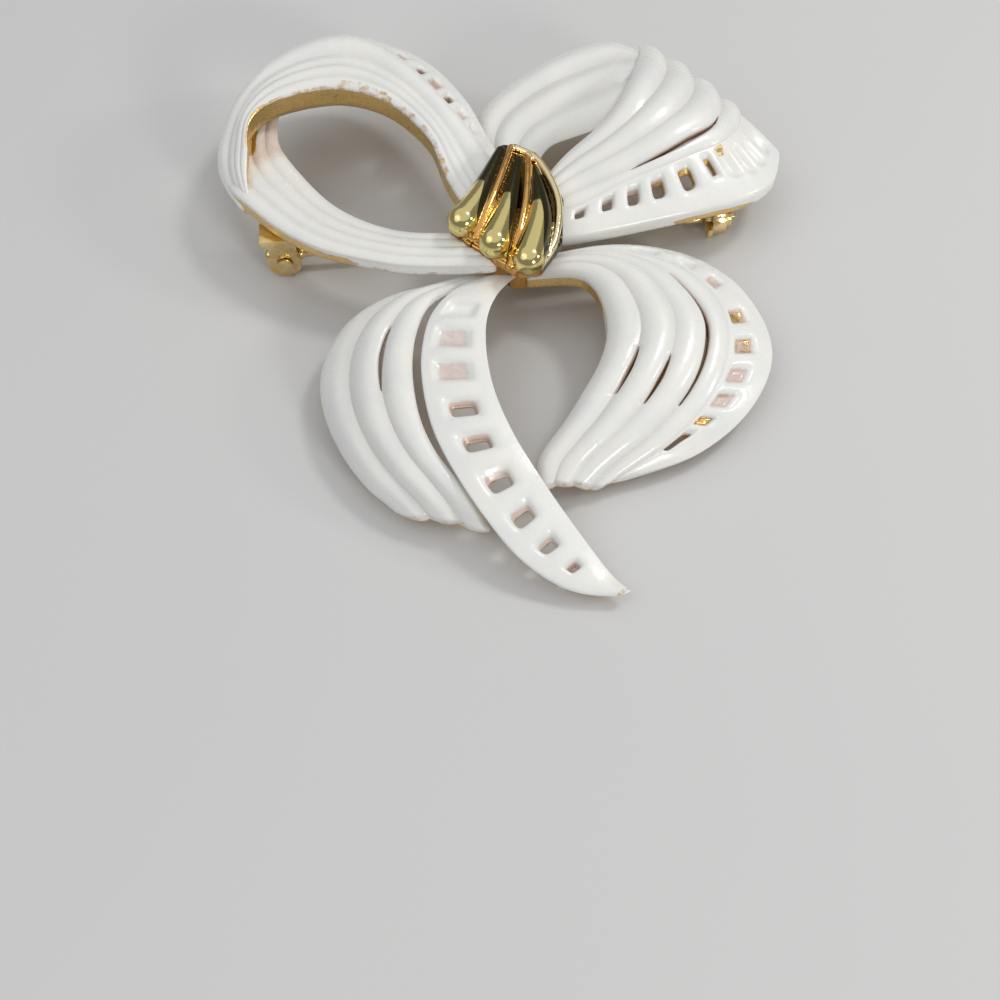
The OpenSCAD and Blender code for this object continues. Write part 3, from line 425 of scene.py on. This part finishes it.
def railsAt(strand, points, place):
    rails = curveAt(points, place)
    share = place / (len(points) - 1)
    first, last = (dropAt(d, share) for d in strand["drops"])
    if first:
        rails = np.vstack([rails[:1] - [0, 0, first], rails])
    if last:
        rails = np.vstack([rails, rails[-1:] - [0, 0, last]])
    return rails


def linesAlong(strand, last):
    marks = [0.0, last]
    for centre, _, width, *_ in strand["windows"]:
        half = width / 2
        inner = half * casting["innerShare"]
        marks += [centre - half, centre - inner, centre, centre + inner, centre + half]
    for first, end, *_ in strand["slits"]:
        marks += [first, end]
    marks = sorted(marks)
    kept = [marks[0]]
    for mark in marks[1:]:
        if mark - kept[-1] > casting["leastStep"]:
            kept.append(mark)
    kept[-1] = last
    lines = []
    for start, end in zip(kept, kept[1:]):
        parts = max(1, math.ceil((end - start) / strand.get("step", casting["longStep"])))
        lines += [start + (end - start) * k / parts for k in range(parts)]
    return lines + [last]


def slitHalf(strand, place, across):
    for first, end, where, width in strand["slits"]:
        if abs(where - across) < 0.01:
            share = (place - first) / (end - first)
            if -0.01 <= share <= 1.01:
                gap = width * (1 - casting["slitTaper"] * abs(2 * share - 1))
                return max(gap / 2, casting["slitLeast"])
    return casting["grooveHalf"]


def columnsAt(strand, rails, place):
    found = []
    windows = strand["windows"]
    rimLine = casting["rimLine"]
    for panel, (kind, ribs, _) in enumerate(strand["panels"]):
        width = float(np.linalg.norm(rails[panel + 1] - rails[panel])) + 1e-6
        if kind == "edge":
            found += [(panel, line, 0.0) for line in casting["edgeLines"]]
        elif kind == "ribs":
            for rib in range(ribs):
                halves = [slitHalf(strand, place, panel + (rib + k) / ribs) * ribs / width for k in (0, 1)]
                start, finish = (min(half, casting["grooveMost"]) for half in halves)
                for phase in (0.0, start, *casting["ribLines"], 1 - finish):
                    found.append((panel, (rib + phase) / ribs, math.sin(math.pi * phase) if phase else 0.0))
        else:
            centres = [w[0] for w in windows]
            low = float(np.interp(place, centres, [w[1] - w[3] / 2 for w in windows]))
            high = float(np.interp(place, centres, [w[1] + w[3] / 2 for w in windows]))
            inset = casting["insetShare"] * (high - low)
            opensRim = panel == 0 or strand["panels"][panel - 1][0] == "edge"
            first = rimLine * low if opensRim else min(casting["grooveHalf"] / width, rimLine * low)
            final = 1 - min(slitHalf(strand, place, panel + 1.0) / width, rimLine * (1 - high))
            shares = (0.0, first, (first + low) / 2, low, low + inset, (low + high) / 2, high - inset, high,
                      (high + final) / 2, final)
            found += [(panel, share, 0.0) for share in shares]
    found.append((len(strand["panels"]) - 1, 1.0, 0.0))
    return found


def shareAt(areas, place, across):
    most = 0.0
    for first, end, low, high, share in areas:
        outside = (max(first - place, place - end, 0.0) / casting["fadeAlong"]
                   + max(low - across, across - high, 0.0) / casting["fadeAcross"])
        most = max(most, share * max(1.0 - outside, 0.0))
    return most


# The front face before its ribs are raised, then each point's panel, place across, rounding and rib width,
# and the line of points that the walls lean towards
def flatSheet(strand, points, lines):
    last = float(len(points) - 1)
    onward = points[-1][0] - points[-2][0]
    onward = onward / np.linalg.norm(onward)
    flat, marks, cores = [], [], []
    for place in lines:
        rails = railsAt(strand, points, place)
        skew = float(np.interp(place, *zip(*strand["skew"]))) if "skew" in strand else 0.0
        row, rowMarks = [], []
        for panel, share, rounding in columnsAt(strand, rails, place):
            _, ribs, crown = strand["panels"][panel]
            here = railsAt(strand, points, place - skew * (share - 0.5)) if skew else rails
            arch = [0, 0, crown * 4 * share * (1 - share)]
            spot = here[panel] * (1 - share) + here[panel + 1] * share + arch
            width = float(np.linalg.norm(rails[panel + 1] - rails[panel])) / max(ribs, 1)
            row.append(spot + onward * strand["scallop"] * (place / last) ** 6 * rounding)
            rowMarks.append((panel, share, rounding, width))
        flat.append(row)
        marks.append(rowMarks)
        middle = (rails[0] + rails[-1]) / 2
        cores.append(middle - [0, 0, casting["coreShare"] * np.linalg.norm(rails[-1] - rails[0])])
    return np.array(flat), marks, np.array(cores)[:, None, :]


def facingOf(flat):
    alongward = np.empty_like(flat)
    alongward[1:-1] = flat[2:] - flat[:-2]
    alongward[0], alongward[-1] = flat[1] - flat[0], flat[-1] - flat[-2]
    crosswise = np.empty_like(flat)
    crosswise[:, 1:-1] = flat[:, 2:] - flat[:, :-2]
    crosswise[:, 0], crosswise[:, -1] = flat[:, 1] - flat[:, 0], flat[:, -1] - flat[:, -2]
    facing = np.cross(alongward, crosswise)
    return facing / np.maximum(np.linalg.norm(facing, axis=2, keepdims=True), 1e-9)


# Sinks or cuts each window, lifts the bars between them, and returns the corners of the cut ones
def cutWindows(strand, lines, marks, front, facing, kept, shares, deep):
    ladder = next(k for k, panel in enumerate(strand["panels"]) if panel[0] == "ladder")
    firstColumn = next(j for j, mark in enumerate(marks[0]) if mark[0] == ladder)
    edgeLow, edgeHigh = firstColumn + 3, firstColumn + 7  # low and high, in the order of columnsAt
    columns = slice(edgeLow + 1, edgeHigh)
    places = np.array(lines)
    innerShare = casting["innerShare"]
    holes = []
    for number, (centre, _, width, _, through, tone, gilt) in enumerate(strand["windows"]):
        half = width / 2
        sides = (-1, -innerShare, innerShare, 1)
        rowsIn = [int(np.argmin(abs(places - (centre + half * side)))) for side in sides]
        outer = slice(rowsIn[0] + 1, rowsIn[3])
        inner = slice(rowsIn[1], rowsIn[2] + 1)
        if through:
            deep["well"][outer, columns] = tone
            deep["bare"][outer, columns] = gilt
            shares["well"][outer, columns] = tone * casting["throughTint"]
            front[outer, columns] -= facing[outer, columns] * casting["throughDepth"]
            kept[rowsIn[1]:rowsIn[2], edgeLow + 1:edgeHigh - 1] = False
            holes.append(((rowsIn[1], rowsIn[2]), edgeLow + 1, edgeHigh - 1))
        else:
            shares["well"][inner, columns] = tone
            shares["bare"][inner, columns] = np.maximum(shares["bare"][inner, columns], gilt)
            front[inner, columns] -= facing[inner, columns] * casting["blindDepth"]
        if number + 1 < len(strand["windows"]):
            following = strand["windows"][number + 1]
            gapMiddle = (centre + half + following[0] - following[2] / 2) / 2
            bar = int(np.argmin(abs(places - gapMiddle)))
            if abs(places[bar] - gapMiddle) < casting["barNear"]:
                front[bar, columns] += facing[bar, columns] * strand["barRise"]
    return holes


def cutSlits(strand, lines, marks, kept, deep):
    for first, end, across, _ in strand["slits"]:
        column = min(range(len(marks[0])), key=lambda j: abs(marks[0][j][0] + marks[0][j][1] - across))
        for i in range(len(lines) - 1):
            if first - 0.001 <= lines[i] and lines[i + 1] <= end + 0.001:
                kept[i, column - 1:column + 1] = False
        inside = [i for i in range(len(lines)) if first < lines[i] < end]
        # The slit walls take a tone past 1, which paints them dark as shade
        deep["well"][inside, column - 1] = casting["slitTone"]
        deep["well"][inside, column + 1] = casting["slitTone"]


# Front and back faces, the quads that stay, and each point's shares, on the faces and on a hole's walls
def strandSheet(strand):
    points = pointsOf(strand)
    lines = linesAlong(strand, float(len(points) - 1))
    flat, marks, cores = flatSheet(strand, points, lines)
    facing = facingOf(flat)
    ni, nj = flat.shape[:2]
    height = np.zeros((ni, nj))
    shares = {key: np.zeros((ni, nj)) for key in ("bare", "well", "groove")}
    deep = {key: np.zeros((ni, nj)) for key in ("bare", "well")}
    for i in range(ni):
        for j in range(nj):
            panel, share, rounding, width = marks[i][j]
            height[i, j] = casting["ribShare"] * width * max(rounding, 0.0) ** casting["ribFullness"]
            shares["bare"][i, j] = shareAt(strand["bare"], lines[i], panel + share)
            shares["well"][i, j] = shareAt(strand.get("tints", []), lines[i], panel + share)
            if strand["panels"][panel][0] == "ribs":
                shares["groove"][i, j] = (1 - rounding) ** 3
    front = flat + facing * height[..., None]
    kept = np.ones((ni - 1, nj - 1), bool)
    holes = cutWindows(strand, lines, marks, front, facing, kept, shares, deep) if strand["windows"] else []
    cutSlits(strand, lines, marks, kept, deep)
    inward = cores - flat
    reach = np.linalg.norm(inward, axis=2, keepdims=True)
    depth = np.minimum(casting["wall"], casting["backShare"] * reach)
    back = flat + inward / np.maximum(reach, 1e-9) * depth
    alongDraft, acrossDraft = strand.get("draft", (0.0, 0.0))
    for (near, far), low, high in holes:
        back[near:far + 1, high] += (back[near:far + 1, low] - back[near:far + 1, high]) * acrossDraft
        back[near, low:high + 1] += (back[far, low:high + 1] - back[near, low:high + 1]) * alongDraft
    return front, back, kept, shares, deep


def sheetMesh(name, sheet):
    front, back, kept, shares, deep = sheet
    ni, nj = front.shape[:2]
    verts, faces = [], []
    values = {key: [] for key in shares}
    numbers = {}

    def vertex(layer, i, j):
        key = (layer, i, j)
        if key not in numbers:
            share = {"front": 0.0, "middle": casting["middleLayer"], "back": 1.0}[layer]
            verts.append(tuple((front[i, j] * (1 - share) + back[i, j] * share) * millimetre))
            numbers[key] = len(verts) - 1
            for attribute in shares:
                value = shares[attribute][i, j]
                if attribute == "bare" and layer == "back":
                    value = 1.0
                if attribute in deep and layer == "middle":
                    value = max(value, deep[attribute][i, j])
                values[attribute].append(value)
        return numbers[key]

    def inside(i, j):
        return 0 <= i < ni - 1 and 0 <= j < nj - 1 and kept[i, j]

    for i in range(ni - 1):
        for j in range(nj - 1):
            if not kept[i, j]:
                continue
            ring = [(i, j), (i + 1, j), (i + 1, j + 1), (i, j + 1)]
            faces.append([vertex("front", *c) for c in ring])
            faces.append([vertex("back", *c) for c in reversed(ring)])
            neighbours = [(i, j - 1), (i + 1, j), (i, j + 1), (i - 1, j)]
            for k, neighbour in enumerate(neighbours):
                if inside(*neighbour):
                    continue
                start, end = ring[k], ring[(k + 1) % 4]
                for upper, lower in (("front", "middle"), ("middle", "back")):
                    faces.append([vertex(upper, *end), vertex(upper, *start),
                                  vertex(lower, *start), vertex(lower, *end)])
    mesh = bpy.data.meshes.new(name)
    mesh.from_pydata(verts, [], faces)
    for key, numbersOf in values.items():
        layer = mesh.attributes.new(key, "FLOAT", "POINT")
        layer.data.foreach_set("value", np.array(numbersOf, np.float32))
    mesh.validate()
    return mesh


def evaluated(obj):
    bpy.context.view_layer.update()
    graph = bpy.context.evaluated_depsgraph_get()
    return bpy.data.meshes.new_from_object(obj.evaluated_get(graph), preserve_all_data_layers=True,
                                           depsgraph=graph)


def linked(name, mesh):
    obj = bpy.data.objects.new(name, mesh)
    bpy.context.scene.collection.objects.link(obj)
    return obj


def dropped(obj):
    mesh = obj.data
    bpy.data.objects.remove(obj)
    if mesh.users == 0:
        bpy.data.meshes.remove(mesh)


# The knot, in millimetres. The corners of its plate and the places of its lobes and strips are shares of half
# its width and of its length. A lobe's last number is the height share of its broad end, and a strip's third
# column is its height share
knotShape = {
    "width": 11.4, "length": 18.4, "height": 2.7, "plate": 1.1, "corner": 0.8, "lobe": 1.6, "tip": 0.55,
    "middle": 0.8, "middleHeight": 0.7, "coreHeight": 0.75, "strip": 0.42,
    "inset": 1.9, "blockDrop": 3.0, "blockMiddle": 0.45, "blockRound": 0.5, "blockLap": 0.1,
    "lobeSides": 40, "stripSides": 16, "tubeSteps": 36, "capSteps": 8, "samples": 60,
    "voxel": 0.11, "softening": 3,
    "corners": [(-0.84, 0.34), (-0.58, 0.25), (0.28, 0.06), (0.54, 0.07), (0.88, 0.24), (0.92, 0.52),
                (0.48, 0.84), (0.00, 0.89)],
    "lobes": [[(-0.08, 0.88), (-0.44, 0.52), (-0.75, 0.315), 1.0],
              [(0.25, 0.81), (0.05, 0.43), (-0.19, 0.17), 1.0],
              [(0.52, 0.74), (0.62, 0.38), (0.41, 0.06), 0.90]],
    "strips": [[(0.12, 0.89, 0.10), (-0.17, 0.52, 0.50), (-0.53, 0.21, 0.30)],
               [(0.43, 0.82, 0.10), (0.36, 0.42, 0.50), (0.09, 0.03, 0.25)],
               [(0.20, 0.89, 0.10), (0.62, 0.78, 0.15), (0.95, 0.50, 0.20), (0.88, 0.22, 0.15),
                (0.60, 0.05, 0.10)]]}
knotBroadY = -0.41 * knotShape["length"]
knotFrame = (Matrix.Translation((knotPlace["x"], knotPlace["y"], knotPlace["z"]))
             @ Matrix.Rotation(math.radians(knotPlace["lean"]), 4, "X"))


def knotPoint(share, z):
    return Vector((share[0] * knotShape["width"] / 2, knotBroadY + share[1] * knotShape["length"], z))


def hullOf(name, points):
    shape = bmesh.new()
    for p in points:
        shape.verts.new(knotFrame @ Vector(p) * millimetre)
    bmesh.ops.convex_hull(shape, input=shape.verts)
    loose = [v for v in shape.verts if not v.link_faces]
    bmesh.ops.delete(shape, geom=loose, context="VERTS")
    mesh = bpy.data.meshes.new(name)
    shape.to_mesh(mesh)
    shape.free()
    return mesh


def ringPoints(centre, radius, low, high, count=20):
    spots = []
    for k in range(count):
        turn = 2 * math.pi * k / count
        for z in (low, high):
            spots.append((centre.x + radius * math.cos(turn), centre.y + radius * math.sin(turn), z))
    return spots


def platePoints(grow, low, high):
    spots = []
    for corner in knotShape["corners"]:
        spots += ringPoints(knotPoint(corner, 0), knotShape["corner"] + grow, low, high)
    return spots


def blockPoints(grow):
    inset = knotShape["inset"]
    depth = knotShape["plate"] + knotShape["blockDrop"]
    middle = knotBroadY + knotShape["blockMiddle"] * knotShape["length"]
    spots = []
    for corner in knotShape["corners"]:
        p = knotPoint(corner, 0)
        p.x *= 1 - inset / (knotShape["width"] / 2)
        p.y += (middle - p.y) * 2 * inset / knotShape["length"]
        spots += ringPoints(p, grow + knotShape["blockRound"], -depth, knotShape["blockLap"])
    return spots


# The room that the castings leave round the knot's plate and its block
room, roomHeight = 0.06, 7.0
cutters = [linked("plateRoom", hullOf("plateRoom", platePoints(room, -room, roomHeight))),
           linked("blockRoom", hullOf("blockRoom", blockPoints(room)))]


def castingPiece(name, strands):
    meshes = []
    for strand in strands:
        rough = linked(name + "Rough", sheetMesh(name + "Rough", strandSheet(strand)))
        smoother = rough.modifiers.new("smoother", "SUBSURF")
        smoother.levels = smoother.render_levels = 2
        smooth = linked(name + "Smooth", evaluated(rough))
        for cutter in cutters:
            cut = smooth.modifiers.new(cutter.name, "BOOLEAN")
            cut.operation = "DIFFERENCE"
            cut.solver = "EXACT"
            cut.object = cutter
        meshes.append(evaluated(smooth))
        dropped(rough)
        dropped(smooth)
    whole = bmesh.new()
    for mesh in meshes:
        whole.from_mesh(mesh)
    joined = bpy.data.meshes.new(name)
    whole.to_mesh(joined)
    whole.free()
    for mesh in meshes:
        bpy.data.meshes.remove(mesh)
    joined.materials.clear()
    joined.materials.append(enamel)
    joined.shade_smooth()
    piece = linked(name, joined)
    print(name, len(joined.polygons), "faces")
    return piece


def settle(piece, body, slot, *nodes):
    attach(piece, body)
    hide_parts(*nodes)


for name, node, strands in (("leftLoop", "loop_upper_left", [leftOver, leftUnder]),
                            ("rightLoop", "loop_upper_right", [rightFront, rightBack]),
                            ("leftRibbon", "ribbon_lower_left", [leftRibs, tailBand]),
                            ("rightRibbon", "ribbon_lower_right", [rightRibs])):
    settle(castingPiece(name, strands), "bow", node, node)
print("castings made")


def lobeSpine(row):
    plate, lobe, height = knotShape["plate"], knotShape["lobe"], knotShape["height"]
    radii = (knotShape["tip"], knotShape["middle"] * lobe, lobe)
    middle = plate + knotShape["middleHeight"] * height - radii[1]
    levels = (plate, middle, plate + row[3] * (height - lobe))
    return np.array([[*knotPoint(spot, level), radius] for spot, level, radius in zip(row, levels, radii)])


def stripSpine(row):
    plate, height = knotShape["plate"], knotShape["height"]
    return np.array([[*knotPoint(spot, plate + spot[2] * height), knotShape["strip"]] for spot in row])


def sweptTube(shape, spine, count):
    steps, cap = knotShape["tubeSteps"], knotShape["capSteps"]
    line = [curveAt(spine, (len(spine) - 1) * k / steps) for k in range(steps + 1)]
    centres, girths = [Vector(p[:3]) for p in line], [float(p[3]) for p in line]
    first, final = (centres[1] - centres[0]).normalized(), (centres[-1] - centres[-2]).normalized()
    path = []
    for k in range(cap):
        turn = math.pi / 2 * (1 - (k + 0.1) / cap)
        path.append((centres[0] - first * girths[0] * math.sin(turn), girths[0] * math.cos(turn), first))
    for k in range(steps + 1):
        ahead = (centres[min(k + 1, steps)] - centres[max(k - 1, 0)]).normalized()
        path.append((centres[k], girths[k], ahead))
    for k in range(cap):
        turn = math.pi / 2 * (k + 0.9) / cap
        path.append((centres[-1] + final * girths[-1] * math.sin(turn), girths[-1] * math.cos(turn), final))
    rings = []
    for centre, radius, ahead in path:
        side = ahead.cross(Vector((0, 0, 1))).normalized()
        up = side.cross(ahead)
        ring = []
        for k in range(count):
            turn = 2 * math.pi * k / count
            spot = centre + (side * math.cos(turn) + up * math.sin(turn)) * radius
            ring.append(shape.verts.new(knotFrame @ spot * millimetre))
        rings.append(ring)
    for a, b in zip(rings, rings[1:]):
        for k in range(count):
            shape.faces.new((a[k], a[(k + 1) % count], b[(k + 1) % count], b[k]))
    shape.faces.new(list(reversed(rings[0])))
    shape.faces.new(rings[-1])


def nearestOn(spine, spots):
    count = knotShape["samples"]
    samples = np.array([curveAt(spine, (len(spine) - 1) * k / count) for k in range(count + 1)])
    gaps = np.linalg.norm(spots[:, None, :] - samples[None, :, :3], axis=2)
    clear = gaps - samples[None, :, 3]
    best = np.argmin(clear, axis=1)
    which = np.arange(len(spots))
    ahead = np.gradient(samples[:, :2], axis=0)
    ahead /= np.linalg.norm(ahead, axis=1, keepdims=True)
    rightward = np.stack([-ahead[:, 1], ahead[:, 0]], axis=1)
    offset = spots[:, :2] - samples[best, :2]
    side = np.einsum("ij,ij->i", offset, rightward[best]) / samples[best, 3]
    return clear[which, best], best / count, side


def smoothStep(value, low, high):
    t = np.clip((value - low) / (high - low), 0, 1)
    return t * t * (3 - 2 * t)


# Widths, places and weights, in millimetres or in shares of a lobe's length and girth, of the shares that the
# knot's material reads: warm on the strips, pale for a painted highlight on the right edge, shade for painted
# dark reflections on the lobes' points and flanks, crease for painted shade in the grooves
knotFades = {"warm": 0.16, "pale": 0.2, "shadeEdge": 0.44, "shadeBand": (-0.03, 0.05), "rightFlank": 0.62,
             "rightFrom": 0.05, "leftFlank": 0.25, "leftFrom": 0.55, "foot": 0.35, "footFade": 0.5,
             "creaseAt": 0.12, "creaseHalf": 0.14, "creaseMost": 0.8}


def knotShares(mesh, fades):
    co = np.zeros(len(mesh.vertices) * 3)
    mesh.vertices.foreach_get("co", co)
    back = np.array(knotFrame.inverted())
    spots = co.reshape(-1, 3) / millimetre @ back[:3, :3].T + back[:3, 3]
    strips = [nearestOn(stripSpine(row), spots)[0] for row in knotShape["strips"]]
    lobes = [nearestOn(lobeSpine(row), spots) for row in knotShape["lobes"]]
    gaps = np.stack([lobe[0] for lobe in lobes])
    owner = np.argmin(gaps, axis=0)
    which = np.arange(len(spots))
    place = np.stack([lobe[1] for lobe in lobes])[owner, which]
    side = np.stack([lobe[2] for lobe in lobes])[owner, which]
    between = np.minimum(strips[0], strips[1])
    warm = 1 - smoothStep(between, 0.0, fades["warm"])
    # Painted highlight along the right-edge strip
    pale = 1 - smoothStep(strips[2], 0.0, fades["pale"])
    # Painted dark reflections: the lobes' points and right flanks go dark
    edge = (fades["shadeEdge"] + fades["rightFlank"] * np.maximum(side - fades["rightFrom"], 0)
            + fades["leftFlank"] * np.maximum(-side - fades["leftFrom"], 0))
    shade = smoothStep(edge - place, *fades["shadeBand"]) * (1 - warm) * (1 - pale)
    low = np.clip((knotShape["plate"] + fades["foot"] - spots[:, 2]) / fades["footFade"], 0, 1)
    # Painted shade in the grooves beside the strips
    nearCrease = 1 - np.minimum(np.abs(between - fades["creaseAt"]) / fades["creaseHalf"], 1)
    crease = np.clip(nearCrease, 0, 1) * fades["creaseMost"]
    return {"warm": np.maximum(warm, low * (1 - pale)), "pale": pale, "shade": shade, "crease": crease}


# The remesh leaves specks inside the knot, so only the largest part stays
def largestPart(mesh):
    shape = bmesh.new()
    shape.from_mesh(mesh)
    left, parts = set(shape.verts), []
    while left:
        part, reached = [], [left.pop()]
        while reached:
            vert = reached.pop()
            part.append(vert)
            for edge in vert.link_edges:
                other = edge.other_vert(vert)
                if other in left:
                    left.remove(other)
                    reached.append(other)
        parts.append(part)
    largest = max(parts, key=len)
    specks = [vert for part in parts if part is not largest for vert in part]
    bmesh.ops.delete(shape, geom=specks, context="VERTS")
    shape.to_mesh(mesh)
    shape.free()


def makeKnot():
    shape = bmesh.new()
    for row in knotShape["lobes"]:
        sweptTube(shape, lobeSpine(row), knotShape["lobeSides"])
    for row in knotShape["strips"]:
        sweptTube(shape, stripSpine(row), knotShape["stripSides"])
    bmesh.ops.recalc_face_normals(shape, faces=shape.faces)
    plate, height, tip = (knotShape[k] for k in ("plate", "height", "tip"))
    core = []
    for row in knotShape["lobes"]:
        tops = (plate, knotShape["middleHeight"] * height, knotShape["coreHeight"] * height * row[3])
        for spot, top in zip(row, tops):
            core += ringPoints(knotPoint(spot, 0), tip, plate / 2, plate / 2 + top - tip, 12)
    for mesh in (hullOf("plate", platePoints(0.0, 0.0, plate)), hullOf("block", blockPoints(0.0)),
                 hullOf("core", core)):
        shape.from_mesh(mesh)
        bpy.data.meshes.remove(mesh)
    rough = bpy.data.meshes.new("knotRough")
    shape.to_mesh(rough)
    shape.free()
    piece = linked("knotRough", rough)
    remesh = piece.modifiers.new("remesh", "REMESH")
    remesh.mode = "VOXEL"
    remesh.voxel_size = knotShape["voxel"] * millimetre
    soften = piece.modifiers.new("soften", "SMOOTH")
    soften.factor = 0.5
    soften.iterations = knotShape["softening"]
    mesh = evaluated(piece)
    dropped(piece)
    largestPart(mesh)
    mesh.name = "knotCast"
    for key, value in knotShares(mesh, knotFades).items():
        layer = mesh.attributes.new(key, "FLOAT", "POINT")
        layer.data.foreach_set("value", value.astype(np.float32))
    mesh.materials.clear()
    mesh.materials.append(knotGold)
    mesh.shade_smooth()
    settle(linked("knotCast", mesh), "bow", "knot", "knot")
    print("knot", len(mesh.polygons), "faces")


makeKnot()
for cutter in cutters:
    dropped(cutter)

# Fittings, the model's own shapes with their edges broken: name, node, body, bevel, material
fittings = [("bracket", "pin_hinge", "bow", 0.09, plateGold),
            ("rivet", "hinge_rivet", "bow", 0.10, wireGold),
            ("stem", "pin_stem", "pin", 0.05, wireGold),
            ("catchHousing", "catch_body", "bow", 0.07, plateGold),
            ("catchLock", "catch_roller", "lock", 0.06, wireGold)]
fittingEdges = {"merge": 2e-7, "segments": 2, "bevelAngle": 40.0, "sharpAngle": 38.0}


def makeFitting(name, node, body, edge, material):
    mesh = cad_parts[node].data.copy()
    shape = bmesh.new()
    shape.from_mesh(mesh)
    bmesh.ops.remove_doubles(shape, verts=shape.verts, dist=fittingEdges["merge"])
    shape.to_mesh(mesh)
    shape.free()
    if mesh.has_custom_normals:
        mesh.attributes.remove(mesh.attributes["custom_normal"])
    mesh.name = name
    mesh.materials.clear()
    mesh.materials.append(material)
    piece = linked(name, mesh)
    bevel = piece.modifiers.new("bevel", "BEVEL")
    bevel.width = edge * millimetre
    bevel.segments = fittingEdges["segments"]
    bevel.limit_method = "ANGLE"
    bevel.angle_limit = math.radians(fittingEdges["bevelAngle"])
    bevel.harden_normals = False
    rounded = evaluated(piece)
    rounded.name = name
    dropped(piece)
    rounded.shade_smooth()
    rounded.set_sharp_from_angle(angle=math.radians(fittingEdges["sharpAngle"]))
    piece = linked(name, rounded)
    settle(piece, body, node, node)


for row in fittings:
    makeFitting(*row)
print("fittings made")

floorLook = {"pale": (0.66, 0.66, 0.66), "shade": (0.62, 0.62, 0.625), "half": 1.6}


def makeFloor(look):
    g = Graph("floor")
    cloud = g.noise(g.objectPoint((12.0, 12.0, 12.0)), 1.0, 3.0, 0.5)
    colour = g.blend(cloud, look["pale"], look["shade"])
    material = g.surface(Base_Color=colour, Roughness=0.62 + cloud * 0.06)
    mesh = bpy.data.meshes.new("floor")
    half = look["half"]
    corners = [(-half, -half, 0), (half, -half, 0), (half, half, 0), (-half, half, 0)]
    mesh.from_pydata(corners, [], [(0, 1, 2, 3)])
    mesh.materials.append(material)
    floor = linked("floor", mesh)


makeFloor(floorLook)

# Lamps: name, direction from the brooch, distance, size, power, colour
lamps = [("softbox", (0.00, 0.10, 1.00), 0.70, 1.80, 3.6, (1.0, 0.99, 0.97)),
         ("sparkA", (0.520, 0.323, 0.791), 0.50, 0.10, 0.55, (1.0, 0.98, 0.94)),
         ("sparkB", (0.909, -0.025, 0.415), 0.50, 0.07, 0.30, (1.0, 0.98, 0.94)),
         ("sparkC", (0.552, -0.757, 0.344), 0.50, 0.10, 0.60, (1.0, 0.98, 0.94)),
         ("fill", (-0.60, -0.30, 0.74), 0.60, 0.50, 0.45, (0.97, 0.98, 1.0))]
studio = {"aim": (0.0, 0.005, 0.006), "sky": (0.80, 0.82, 0.85, 1.0), "skyStrength": 0.32}


def makeLamps(rows):
    target = Vector(studio["aim"])
    for name, direction, distance, size, power, colour in rows:
        data = bpy.data.lights.new(name, "AREA")
        data.shape = "DISK"
        data.size = size
        data.energy = power
        data.color = colour
        lamp = bpy.data.objects.new(name, data)
        away = Vector(direction).normalized()
        lamp.location = target + away * distance
        lamp.rotation_euler = (-away).to_track_quat("-Z", "Y").to_euler()
        bpy.context.scene.collection.objects.link(lamp)
    world = bpy.data.worlds.new("studio")
    world.use_nodes = True
    background = world.node_tree.nodes["Background"]
    background.inputs["Color"].default_value = studio["sky"]
    background.inputs["Strength"].default_value = studio["skyStrength"]
    bpy.context.scene.world = world


makeLamps(lamps)
bpy.context.scene.view_settings.view_transform = "Standard"
print("stage made")
